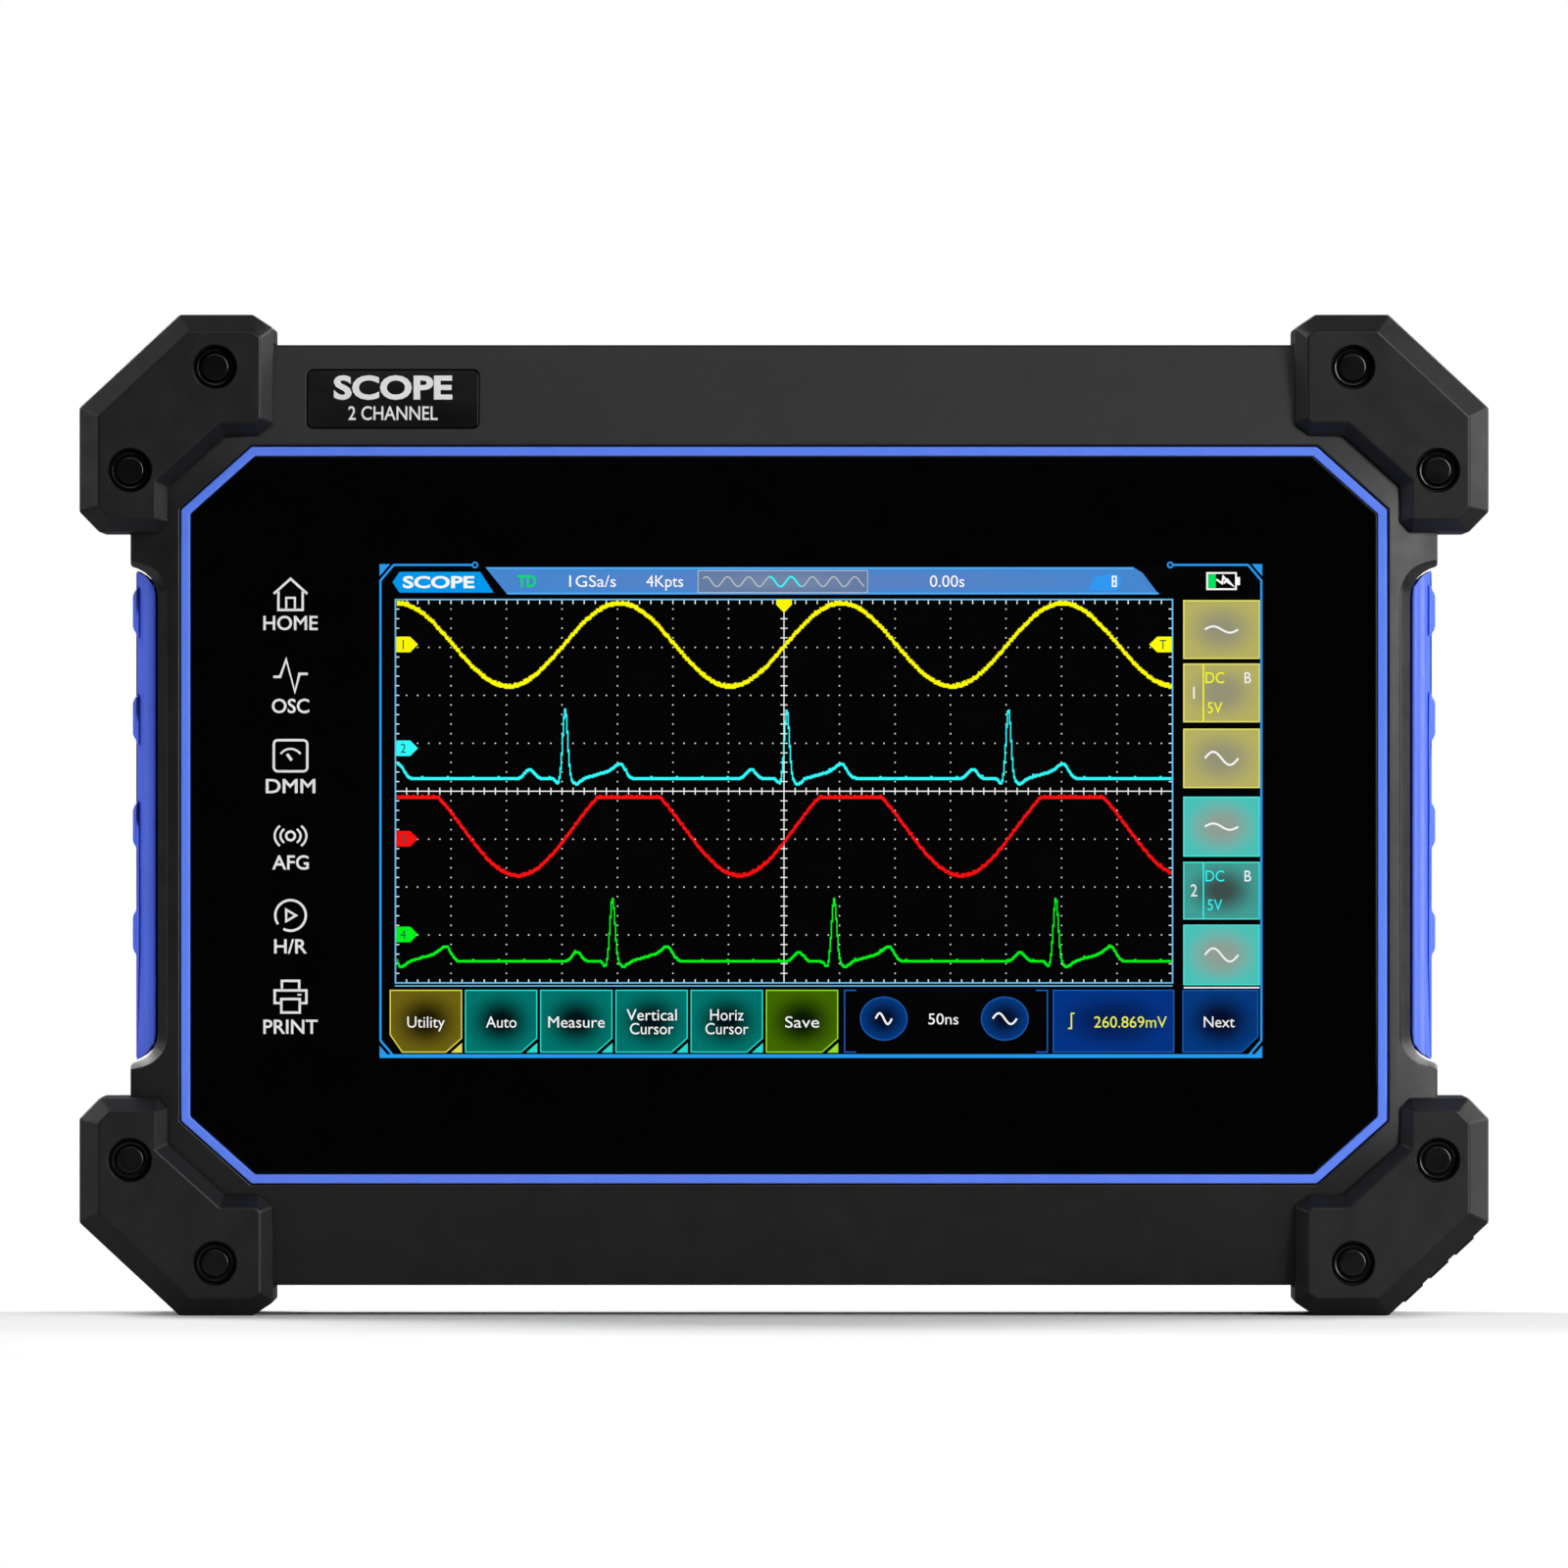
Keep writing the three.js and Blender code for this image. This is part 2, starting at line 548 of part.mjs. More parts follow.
function rearShell() {
  const half = block.intersect(box(-OUT, OUT, CASE.rearStart, OUT, -OUT, OUT));
  const wall = CASE.wall;
  const standFloor = STAND.innerY - GAP;
  const standRecess = standOutline(STAND_RECESS.grow);
  const labelHalf = RATING.halfWidth + GAP;
  const notch = { x0: -FINGER_NOTCH.halfWidth, x1: FINGER_NOTCH.halfWidth, y0: STAND.innerY + 1.5, y1: OUT };
  // What stays solid inside: the walls of the bay, stand recess, port well, battery well and screw posts.
  const inside = [
    box(-BAY.halfWidth - 2, BAY.halfWidth + 2, CASE.rearStart, OUT, BAY.floor - wall, OUT),
    prism(offset(standRecess, STAND_RECESS.rim), standFloor - STAND_RECESS.rim, CASE.rear),
    portWell(2),
    batteryWell(2),
    doorRecess(DOOR.ledge + wall, DOOR.thickness + wall),
    ...DOOR_SCREWS.map(([x, z]) => rod("y", x, z, DOOR_SCREW.postRadius, DOOR_SCREW.postFront, CASE.rear)),
  ];
  const holes = [
    box(-BAY.halfWidth, BAY.halfWidth, BAY.front, OUT, BAY.floor, OUT),
    prism(standRecess, standFloor, OUT),
    boxOf({ ...notch, z0: STAND.foot - FINGER_NOTCH.below, z1: STAND.foot + 1 }),
    batteryWell(0),
    doorRecess(GAP, DOOR.thickness + GAP),
    coverRecess(),
    portWell(0),
    ...[USB_A, USB_C].map(({ x0, x1, y0, y1 }) =>
      box(x0 - GAP, x1 + GAP, y0 - GAP, y1 + GAP, JACK_BOARD_TOP, OUT),
    ),
    stadium(BUTTON.x, BUTTON.y, BUTTON.width + 2 * GAP, BUTTON.length + 2 * GAP, 70, OUT),
    rod("x", HINGE.y, HINGE.z, HINGE.boreRadius, PORTS.x - 16.2, PORTS.x + 16.2),
    box(-labelHalf, labelHalf, CASE.rear - RATING.recess, OUT, RATING.z0 - GAP, RATING.z1 + GAP),
    ...SLOTS.flatMap(slotRow),
    ...Object.values(BNC_X).map((x) => rod("z", x, JACK_Y, BNC_SHANK + GAP, 55, OUT)),
    ...Object.values(BANANA_X).map((x) => rod("z", x, JACK_Y, BANANA_SHANK + GAP, 55, OUT)),
    ...DOOR_SCREWS.map(([x, z]) => rod("y", x, z, DOOR_SCREW.shankRadius + GAP, 10, OUT)),
  ];
  for (const side of [-1, 1]) {
    const [near, far] = [STAND.halfWidth - STAND.legWidth - 2.3, STAND.halfWidth + 2.3];
    const [from, to] = side > 0 ? [near, far] : [-far, -near];
    holes.push(rod("x", STAND.axisY, STAND.axisZ, STAND.pinRadius + GAP, from, to));
  }
  for (const sx of [-1, 1])
    for (const sz of [-1, 1]) {
      const [x, z] = [sx * CASE_SCREW.x, sz * CASE_SCREW.z];
      inside.push(rod("y", x, z, CASE_SCREW.postRadius + 1, CASE.rearStart, CASE.rear));
      holes.push(rod("y", x, z, SCREW_SHANK + GAP, -20, OUT));
      holes.push(rod("y", x, z, CASE_SCREW.counterbore, CASE_SCREW.headY - GAP, OUT, ROUND));
    }
  const cavity = cutAll(prism(cavityOutline, -20, CAVITY.rear), inside);
  return cutAll(half, [cavity, ...holes]);
}

// ---------------------------------------------------------------- ports under the hinged cover

// A receptacle: an open shell with its contact tongue standing in the middle.
function receptacle({ x0, x1, y0, y1 }, wall, tongue) {
  const shell = box(x0, x1, y0, y1, JACK_BOARD_TOP + SNUG, PORT_FACE);
  const mouth = box(x0 + wall, x1 - wall, y0 + wall, y1 - wall, PORT_FACE - 8, PORT_FACE + 1);
  const middle = (y0 + y1) / 2;
  const blade = box(x0 + 2, x1 - 2, middle - tongue / 2, middle + tongue / 2, PORT_FACE - 9, PORT_FACE - 0.8);
  return shell.subtract(mouth).add(blade);
}

piece("rear_shell", rearShell(), MATERIALS.case);
piece("usb_a_port", receptacle(USB_A, 0.5, 1.7), MATERIALS.steel);
piece("usb_c_port", receptacle(USB_C, 0.4, 0.7), MATERIALS.steel);

function portCover() {
  const half = PORTS.coverWidth / 2;
  const bottom = BAY.floor - PORTS.coverThickness;
  const plate = box(PORTS.x - half, PORTS.x + half, HINGE.y, PORTS.coverRear, bottom, BAY.floor);
  const barrel = rod("x", HINGE.y, HINGE.z, PORTS.coverThickness / 2, PORTS.x - half, PORTS.x + half, ROUND);
  const grips = [-1, 0, 1].map((i) =>
    box(PORTS.x - 8, PORTS.x + 8, 11.6 + i * 1.6, 12.4 + i * 1.6, BAY.floor - 0.2, BAY.floor + 0.4),
  );
  const pinHole = rod("x", HINGE.y, HINGE.z, HINGE.boreRadius, PORTS.x - 20, PORTS.x + 20);
  return joinAll([plate, barrel, ...grips]).subtract(pinHole);
}
piece("port_cover", portCover(), MATERIALS.rubber);
const coverPin = rod("x", HINGE.y, HINGE.z, HINGE.pinRadius, PORTS.x - 16, PORTS.x + 16);
piece("port_cover_pin", coverPin, MATERIALS.steel);

// ---------------------------------------------------------------- seal, label and fasteners of the case

const sealOutline = offset(fourfold(caseQuarter(0, 0)), -SEAL.setIn);
const sealInside = prism(offset(sealOutline, -SEAL.width), -OUT, OUT);
piece("case_gasket", prism(sealOutline, SEAL.front, SEAL.rear).subtract(sealInside), MATERIALS.rubber);

const [labelBack, labelFront] = [CASE.rear - RATING.back, CASE.rear - RATING.front];
piece(
  "rating_label",
  box(-RATING.halfWidth, RATING.halfWidth, labelBack, labelFront, RATING.z0, RATING.z1),
  MATERIALS.paper,
);

// A screw along Y with a domed head and a plain shank. A head that faces +Y has a hexagon socket; in one that
// faces -Y a press-in plug closes the socket, so it is a plain dome.
function screw(x, z, headY, tipY, headRadius, shankRadius) {
  const length = Math.abs(tipY - headY);
  const { height, shoulder, shoulderRadius, edge, socketRadius, depth } = SCREW_HEAD;
  const profile = [
    [0, -height],
    [headRadius * shoulderRadius, -shoulder],
    [headRadius, -edge],
    [headRadius, 0],
    [shankRadius, 0],
    [shankRadius, length],
    [0, length],
  ];
  const body = solid(
    new THREE.LatheGeometry(
      profile.map(([radius, y]) => new THREE.Vector2(radius, y)),
      COARSE,
    ),
  );
  if (tipY > headY) return geometryOf(body).translate(x, headY, z);
  const across = headRadius * socketRadius;
  const socket = solid(new THREE.CylinderGeometry(across, across, 2, 6).translate(0, depth - height - 1, 0));
  return geometryOf(body.subtract(socket)).rotateX(Math.PI).translate(x, headY, z);
}

const CORNERS = {
  top_left: [-1, 1],
  top_right: [1, 1],
  bottom_left: [-1, -1],
  bottom_right: [1, -1],
};

for (const [corner, [sx, sz]] of Object.entries(CORNERS)) {
  const { x: caseX, z: caseZ, headY: caseHead, tipY: caseTip, headRadius: caseRadius } = CASE_SCREW;
  const caseScrew = screw(sx * caseX, sz * caseZ, caseHead, caseTip, caseRadius, SCREW_SHANK);
  piece(`case_screw_${corner}`, caseScrew, MATERIALS.screw);
  BUMPER_SCREWS.forEach(([x, z], i) => {
    const { headY, tipY, headRadius } = BUMPER_SCREW;
    piece(
      `bumper_screw_${corner}_${i + 1}`,
      screw(sx * x, sz * z, headY, tipY, headRadius, SCREW_SHANK),
      MATERIALS.screw,
    );
  });
}

// ---------------------------------------------------------------- bumpers

const bumperOutline = BUMPER_OUTLINE.map(([x, z]) => [x, z]);
const bumperSetIn = BUMPER_OUTLINE.map(([, , inset]) => -inset);

// Raised pads across the slanting outer face; they start behind the front chamfer, or right at it.
function bumperPads(frontY) {
  const [[x0, z0], [x1, z1]] = [bumperOutline[9], bumperOutline[10]];
  const length = Math.hypot(x1 - x0, z1 - z0);
  const along = [(x1 - x0) / length, (z1 - z0) / length];
  const out = [along[1], -along[0]];
  return PAD.shifts.map((shift) => {
    const middle = length / 2 + shift;
    const at = (s, t) => [
      x0 + along[0] * (middle + s) + out[0] * t,
      z0 + along[1] * (middle + s) + out[1] * t,
    ];
    const [half, proud] = [PAD.halfLength, PAD.proud];
    return prism([at(half, -1), at(half, proud), at(-half, proud), at(-half, -1)], frontY, PAD.rear);
  });
}

function bumper(padsFrom) {
  const { front, rear, frontChamfer, rearChamfer } = BUMPER;
  const body = loft([
    [front, offset(bumperOutline, bumperSetIn)],
    [front + frontChamfer, bumperOutline],
    [rear - rearChamfer, bumperOutline],
    [rear, offset(bumperOutline, -1.8)],
  ]);
  const holes = BUMPER_SCREWS.flatMap(([x, z]) => [
    rod("y", x, z, BUMPER_SCREW.counterbore, -OUT, BUMPER_SCREW.headY, ROUND),
    rod("y", x, z, SCREW_SHANK + GAP, -OUT, 0),
  ]);
  return geometryOf(cutAll(joinAll([body, ...bumperPads(padsFrom)]), [pocketBlock, ...holes]));
}

const plainBumper = bumper(-8);
const ribbedBumper = bumper(BUMPER.front + BUMPER.frontChamfer + 0.2);
for (const [corner, [sx, sz]] of Object.entries(CORNERS)) {
  const geometry = corner === "bottom_right" ? ribbedBumper : plainBumper;
  piece(`bumper_${corner}`, geometry, MATERIALS.rubber).scale.set(sx, 1, sz);
}

// ---------------------------------------------------------------- side grips

// The grip's bar, rounded on its outer edges, with low ribs across it that taper on all sides.
function sideGrip() {
  const { inner, outer, halfDepth, halfHeight, curveX, curveY } = GRIP;
  const rounded = Array.from({ length: 9 }, (_, i) => {
    const angle = (i * Math.PI) / 16;
    return [outer - curveX * (1 - Math.sin(angle)), -halfDepth + curveY * (1 - Math.cos(angle))];
  });
  const section = [[inner, -halfDepth], ...rounded, ...[...rounded].reverse().map(([x, y]) => [x, -y])];
  section.push([inner, halfDepth]);
  const shape = new THREE.Shape(section.map(([x, y]) => new THREE.Vector2(x, y)));
  const length = { depth: 2 * halfHeight, bevelEnabled: false };
  const bar = solid(new THREE.ExtrudeGeometry(shape, length).translate(0, 0, -halfHeight));
  const around = ([halfY, halfZ]) => rectangle(-halfY, halfY, -halfZ, halfZ);
  const rib = loft([
    [0, around(RIB.foot)],
    [RIB.sunk + RIB.proud, around(RIB.top)],
  ]).rotate([0, 0, -90]);
  const ribs = Array.from({ length: RIB.count }, (_, i) =>
    rib.translate([outer - RIB.sunk, 0, RIB.topZ - i * RIB.pitch]),
  );
  return geometryOf(joinAll([bar, ...ribs]).subtract(pocketBlock));
}

const gripGeometry = sideGrip();
piece("side_grip_right", gripGeometry, MATERIALS.grip);
piece("side_grip_left", gripGeometry, MATERIALS.grip).scale.set(-1, 1, 1);

// ---------------------------------------------------------------- connectors in the bay

for (const [name, x] of Object.entries(BNC_X)) {
  const base = BAY.floor + SNUG;
  const barrel = turned(
    [
      [0, 73],
      [0.7, 73],
      [0.7, 78],
      [2.4, 78],
      [2.4, 71.5],
      [4.05, 71.5],
      [4.05, 79.4],
      [4.85, 79.4],
      [4.85, 69.2],
      [6, 69.2],
      [6, 68],
      [7.2, 68],
      [7.2, base],
      [BNC_SHANK, base],
      [BNC_SHANK, JACK_BOARD_TOP + SNUG],
      [0, JACK_BOARD_TOP + SNUG],
    ],
    x,
    JACK_Y,
  );
  const studs = [-1, 1].map((side) => rod("x", JACK_Y, 75.6, 1, x + side * 5 - 0.7, x + side * 5 + 0.7));
  piece(name, joinAll([barrel, ...studs]), MATERIALS.nickel);
}

for (const [name, x] of Object.entries(BANANA_X)) {
  const base = BAY.floor + SNUG;
  const jack = turned(
    [
      [0, 54],
      [2.1, 54],
      [2.1, 73.4],
      [2.9, 73.4],
      [2.9, 67],
      [4.1, 67],
      [4.1, 74],
      [5.4, 74],
      [5.8, 73.5],
      [5.8, 68],
      [6.6, 67.4],
      [6.6, base],
      [BANANA_SHANK, base],
      [BANANA_SHANK, JACK_BOARD_TOP + SNUG],
      [0, JACK_BOARD_TOP + SNUG],
    ],
    x,
    JACK_Y,
  );
  piece(name, jack, name.endsWith("common") ? MATERIALS.jackBlack : MATERIALS.jackRed);
}
piece("jack_board", boxOf(JACK_BOARD), MATERIALS.board);

// ---------------------------------------------------------------- power button

function powerButton() {
  const { x, y, width, length, proud, travel } = BUTTON;
  const [halfWidth, halfLength, height] = BUTTON.flange;
  const wallUnder = CAVITY.halfHeight;
  const cap = stadium(x, y, width, length, wallUnder - 2, CASE.halfHeight + proud);
  const flangeTop = wallUnder - travel + 0.4;
  return cap.add(
    box(x - halfWidth, x + halfWidth, y - halfLength, y + halfLength, flangeTop - height, flangeTop),
  );
}
piece("power_button", powerButton(), MATERIALS.rubber);
piece("power_switch", boxOf(POWER_SWITCH), MATERIALS.steel);

// ---------------------------------------------------------------- stand

function kickstand() {
  const { halfWidth, legWidth, axisY, axisZ, innerY, outerY, pinRadius, foot } = STAND;
  const { halfWidth: reach, from: low, to: high, radius, depth } = STAND_GROOVE;
  const frame = prism(standOutline(0).reverse(), innerY, outerY);
  const knuckles = [-1, 1].map((side) => {
    const [from, to] = side > 0 ? [halfWidth - legWidth, halfWidth] : [-halfWidth, legWidth - halfWidth];
    return rod("x", axisY, axisZ, STAND.thickness / 2, from, to, ROUND);
  });
  const { halfWidth: footHalf, height: footHeight } = STAND_FOOT;
  return cutAll(joinAll([frame, ...knuckles]), [
    rod("x", axisY, axisZ, pinRadius + GAP, -OUT, OUT),
    box(-footHalf, footHalf, innerY - 1, outerY + 1, foot - 1, foot + footHeight),
    prism(roundedRectangle(-reach, reach, foot + low, foot + high, radius), outerY - depth, outerY + 1),
  ]);
}
piece("kickstand", kickstand(), MATERIALS.case);
const footPad = {
  x0: 0.2 - STAND_FOOT.halfWidth,
  x1: STAND_FOOT.halfWidth - 0.2,
  y0: STAND.innerY + 0.1,
  y1: STAND.outerY - 0.1,
  z0: STAND.foot,
  z1: STAND.foot + STAND_FOOT.height - 0.2,
};
piece("kickstand_foot", boxOf(footPad), MATERIALS.rubber);
for (const [name, side] of Object.entries({ kickstand_pin_right: 1, kickstand_pin_left: -1 })) {
  const { halfWidth, legWidth, axisY, axisZ, pinRadius } = STAND;
  const middle = side * (halfWidth - legWidth / 2);
  const reach = legWidth / 2 + 2;
  piece(name, rod("x", axisY, axisZ, pinRadius, middle - reach, middle + reach), MATERIALS.steel);
}

// ---------------------------------------------------------------- battery

const packBack = CASE.rear - DOOR.thickness - 0.6;
const pack = prism(
  roundedRectangle(-BATTERY.halfWidth, BATTERY.halfWidth, BATTERY.bottom, BATTERY.top, 3),
  BATTERY.front,
  packBack,
);
piece("battery_pack", pack, MATERIALS.battery);

function batteryDoor() {
  const { halfWidth, bottom, top, thickness } = DOOR;
  const plate = box(-halfWidth, halfWidth, CASE.rear - thickness, CASE.rear, bottom, top);
  const grooves = Array.from({ length: DOOR_GROOVES.count }, (_, i) => {
    const [reach, low] = [DOOR_GROOVES.halfWidth, top - DOOR_GROOVES.fromTop - i * DOOR_GROOVES.pitch];
    return box(-reach, reach, CASE.rear - DOOR_GROOVES.depth, OUT, low, low + DOOR_GROOVES.height);
  });
  const holes = DOOR_SCREWS.map(([x, z]) => rod("y", x, z, DOOR_SCREW.shankRadius + GAP, 0, OUT));
  return cutAll(plate, [...grooves, ...holes]);
}
piece("battery_door", batteryDoor(), MATERIALS.case);
DOOR_SCREWS.forEach(([x, z], i) => {
  const { tipY, headRadius, shankRadius } = DOOR_SCREW;
  const doorScrew = screw(x, z, CASE.rear + 0.1, tipY, headRadius, shankRadius);
  piece(`battery_door_screw_${i + 1}`, doorScrew, MATERIALS.screw);
});

// ---------------------------------------------------------------- multimeter board, speaker and aerial

piece("dmm_board", boxOf(DMM_BOARD), MATERIALS.board);
for (const [name, { x, y, radius, z0, z1 }] of Object.entries(FUSES))
  piece(name, rod("z", x, y, radius, z0, z1), MATERIALS.ceramic);
piece("speaker", rod("y", SPEAKER.x, SPEAKER.z, SPEAKER.radius, SPEAKER.y0, SPEAKER.y1), MATERIALS.jackBlack);
piece("wifi_aerial", boxOf(AERIAL), MATERIALS.board);

export default instrument;
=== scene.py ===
"""A handheld tablet oscilloscope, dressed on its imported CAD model.

Lengths are in millimetres about the middle of the case, with +Z up and the display facing -Y. They are turned
into the frame's metres only where a mesh is made, by `place`. Colours are linear.
"""

import json
import math

import bmesh
import bpy
from mathutils import Matrix, Vector


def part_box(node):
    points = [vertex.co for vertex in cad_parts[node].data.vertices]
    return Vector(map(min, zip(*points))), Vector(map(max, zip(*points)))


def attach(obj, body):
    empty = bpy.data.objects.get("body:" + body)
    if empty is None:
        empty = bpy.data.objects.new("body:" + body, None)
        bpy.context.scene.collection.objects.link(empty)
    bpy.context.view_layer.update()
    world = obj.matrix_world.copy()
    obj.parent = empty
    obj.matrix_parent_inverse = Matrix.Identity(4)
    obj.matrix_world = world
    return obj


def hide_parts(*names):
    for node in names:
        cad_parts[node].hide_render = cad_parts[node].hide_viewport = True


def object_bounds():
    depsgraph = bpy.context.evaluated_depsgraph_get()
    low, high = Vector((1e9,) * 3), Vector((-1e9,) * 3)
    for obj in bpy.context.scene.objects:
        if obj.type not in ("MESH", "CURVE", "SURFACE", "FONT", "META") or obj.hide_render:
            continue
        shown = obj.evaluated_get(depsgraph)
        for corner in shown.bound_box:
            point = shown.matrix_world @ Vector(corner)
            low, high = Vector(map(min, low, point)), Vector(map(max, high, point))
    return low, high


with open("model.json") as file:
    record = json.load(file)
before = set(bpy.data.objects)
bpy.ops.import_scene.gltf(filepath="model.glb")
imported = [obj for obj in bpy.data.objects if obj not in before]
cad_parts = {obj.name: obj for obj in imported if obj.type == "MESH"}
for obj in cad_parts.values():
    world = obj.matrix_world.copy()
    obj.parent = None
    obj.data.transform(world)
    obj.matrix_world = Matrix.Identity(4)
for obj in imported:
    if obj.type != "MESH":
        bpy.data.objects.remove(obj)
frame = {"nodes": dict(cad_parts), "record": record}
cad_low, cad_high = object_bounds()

MM = 0.001
MIDDLE = (cad_low + cad_high) / 2
CASE = "case"
CORNERS = ("top_left", "top_right", "bottom_left", "bottom_right")

# ---------------------------------------------------------------- frame helpers


def place(x, y, z):
    """A point given in millimetres about the middle of the case, in the frame's metres."""
    return MIDDLE + Vector((x, y, z)) * MM


def extent(node):
    """A CAD node's lowest and highest corners, in millimetres about the middle of the case."""
    low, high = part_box(node)
    return (low - MIDDLE) / MM, (high - MIDDLE) / MM


def centre(node):
    low, high = extent(node)
    return (low + high) / 2


GLASS_FRONT = extent("touch_glass")[0].y
REAR_FACE = extent("battery_door")[1].y
COVER_GRIP = 0.4  # how far the ribs on the port cover stand up from the bay's floor
BAY_FLOOR = extent("port_cover")[1].z - COVER_GRIP

# ---------------------------------------------------------------- materials


def principled(name, colour, roughness, metallic=0.0, specular=0.5):
    material = bpy.data.materials.new(name)
    material.use_nodes = True
    shader = material.node_tree.nodes["Principled BSDF"]
    shader.inputs["Base Color"].default_value = (*colour, 1)
    shader.inputs["Roughness"].default_value = roughness
    shader.inputs["Metallic"].default_value = metallic
    shader.inputs["Specular IOR Level"].default_value = specular
    return material, shader


def add_node(tree, kind, values=None, **settings):
    """A shader node with its settings, and with constants on the sockets that `values` names."""
    node = tree.nodes.new(f"ShaderNode{kind}")
    for setting, choice in settings.items():
        setattr(node, setting, choice)
    for socket, value in (values or {}).items():
        node.inputs[socket].default_value = value
    return node


def add_mix(tree, first, second):
    """A mix of two colours."""
    return add_node(tree, "Mix", {"A": (*first, 1), "B": (*second, 1)}, data_type="RGBA")


def add_remap(tree, source, target, **settings):
    ends = {"From Min": source[0], "From Max": source[1], "To Min": target[0], "To Max": target[1]}
    return add_node(tree, "MapRange", ends, **settings)


def noise(tree, scale, detail=3.0, stretch=(1, 1, 1)):
    """The factor of a noise texture with `scale` cells to the metre, in the piece's own space."""
    coordinates = add_node(tree, "TexCoord")
    mapping = add_node(tree, "Mapping", {"Scale": stretch})
    texture = add_node(tree, "TexNoise", {"Scale": scale, "Detail": detail})
    tree.links.new(coordinates.outputs["Object"], mapping.inputs["Vector"])
    tree.links.new(mapping.outputs["Vector"], texture.inputs["Vector"])
    return texture.outputs["Fac"]


def spread(tree, factor, low, high):
    """Maps the middle of a noise's range onto low..high."""
    remap = add_remap(tree, (0.3, 0.7), (low, high))
    tree.links.new(factor, remap.inputs["Value"])
    return remap.outputs["Result"]


def tint(tree, factor, colour, amount):
    """Mixes a darker and a lighter shade of a colour by a factor."""
    darker = [part * (1 - amount) for part in colour]
    lighter = [min(1, part * (1 + amount)) for part in colour]
    mix = add_mix(tree, darker, lighter)
    tree.links.new(factor, mix.inputs["Factor"])
    return mix.outputs["Result"]


def bump(tree, shader, heights):
    """Chains bumps of (factor, height in metres, strength) into the shader's normal."""
    normal = None
    for factor, height, strength in heights:
        node = add_node(tree, "Bump", {"Distance": height, "Strength": strength})
        tree.links.new(factor, node.inputs["Height"])
        if normal:
            tree.links.new(normal, node.inputs["Normal"])
        normal = node.outputs["Normal"]
    tree.links.new(normal, shader.inputs["Normal"])


def moulded(name, colour, roughness, grain, relief, mottling=0.12, specular=0.5):
    """Plastic or rubber out of a textured mould: `grain` cells to the metre, `relief` metres high."""
    material, shader = principled(name, colour, roughness, specular=specular)
    tree = material.node_tree
    blotches = spread(tree, noise(tree, 60, 4), 0, 1)
    tree.links.new(tint(tree, blotches, colour, mottling), shader.inputs["Base Color"])
    handled = noise(tree, 220, 5)
    tree.links.new(spread(tree, handled, roughness - 0.05, roughness + 0.06), shader.inputs["Roughness"])
    waves = noise(tree, 90, 1)
    bump(tree, shader, [(waves, 0.00006, 0.12), (noise(tree, grain, 2), relief, 0.5)])
    return material


def plated(name, colour, roughness, stretch=(1, 1, 1)):
    """Bare or plated metal with fine scratches, longest along the axis with the smallest stretch."""
    material, shader = principled(name, colour, roughness, 1.0)
    tree = material.node_tree
    tarnish = spread(tree, noise(tree, 180, 4), 0, 1)
    tree.links.new(tint(tree, tarnish, colour, 0.08), shader.inputs["Base Color"])
    scratches = noise(tree, 2500, 4, stretch)
    tree.links.new(spread(tree, scratches, roughness - 0.05, roughness + 0.1), shader.inputs["Roughness"])
    bump(tree, shader, [(scratches, 0.00001, 0.3)])
    return material


def polished(name, colour, roughness, specular=0.5):
    """Glass or gloss plastic, with faint wipe marks in its gloss."""
    material, shader = principled(name, colour, roughness, specular=specular)
    tree = material.node_tree
    wiped = noise(tree, 40, 6, (1, 1, 3))
    tree.links.new(spread(tree, wiped, roughness * 0.7, roughness * 1.6), shader.inputs["Roughness"])
    film = spread(tree, noise(tree, 150, 3), 0, 1)
    tree.links.new(tint(tree, film, colour, 0.3), shader.inputs["Base Color"])
    return material


def circuit_board(name):
    """Green solder mask over a grid of tracks."""
    material, shader = principled(name, (0.01, 0.1, 0.03), 0.4)
    tree = material.node_tree
    coordinates = add_node(tree, "TexCoord")
    colours = {"Color1": (0.008, 0.085, 0.025, 1), "Color2": (0.012, 0.12, 0.04, 1)}
    spacing = {"Scale": 400, "Mortar Size": 0.04, "Mortar": (0.03, 0.2, 0.07, 1)}
    tracks = add_node(tree, "TexBrick", {**colours, **spacing})
    tree.links.new(coordinates.outputs["Object"], tracks.inputs["Vector"])
    tree.links.new(tracks.outputs["Color"], shader.inputs["Base Color"])
    bump(tree, shader, [(noise(tree, 1500, 2), 0.00002, 0.4)])
    return material


CASE_PLASTIC = moulded("case_plastic", (0.009, 0.009, 0.0092), 0.38, 3200, 0.00003)
BUMPER_RUBBER = moulded("bumper_rubber", (0.0085, 0.0085, 0.0085), 0.42, 4200, 0.00004, specular=0.4)
GRIP_RUBBER = moulded("grip_rubber", (0.09, 0.17, 0.98), 0.4, 3600, 0.00003, mottling=0.05)
ACCENT_PLASTIC = moulded("accent_plastic", (0.115, 0.24, 1.0), 0.34, 2600, 0.00001, mottling=0.03)
COVER_GLASS = polished("cover_glass", (0.0004, 0.0004, 0.0005), 0.05)
PLATE_BLACK = polished("nameplate_gloss", (0.001, 0.001, 0.0011), 0.1, specular=0.3)
PLUG_PLASTIC = moulded("plug_plastic", (0.004, 0.004, 0.004), 0.2, 1500, 0.00001)
SCREW_BLACK = plated("screw_black_oxide", (0.05, 0.05, 0.052), 0.38)
NICKEL = plated("nickel_plate", (0.72, 0.7, 0.65), 0.16, (1, 1, 0.05))
GOLD = plated("gold_contact", (0.85, 0.6, 0.25), 0.2)
STEEL = plated("bright_steel", (0.6, 0.6, 0.6), 0.25, (0.05, 1, 1))
ALUMINIUM = plated("milled_aluminium", (0.6, 0.61, 0.62), 0.35, (1, 1, 0.04))
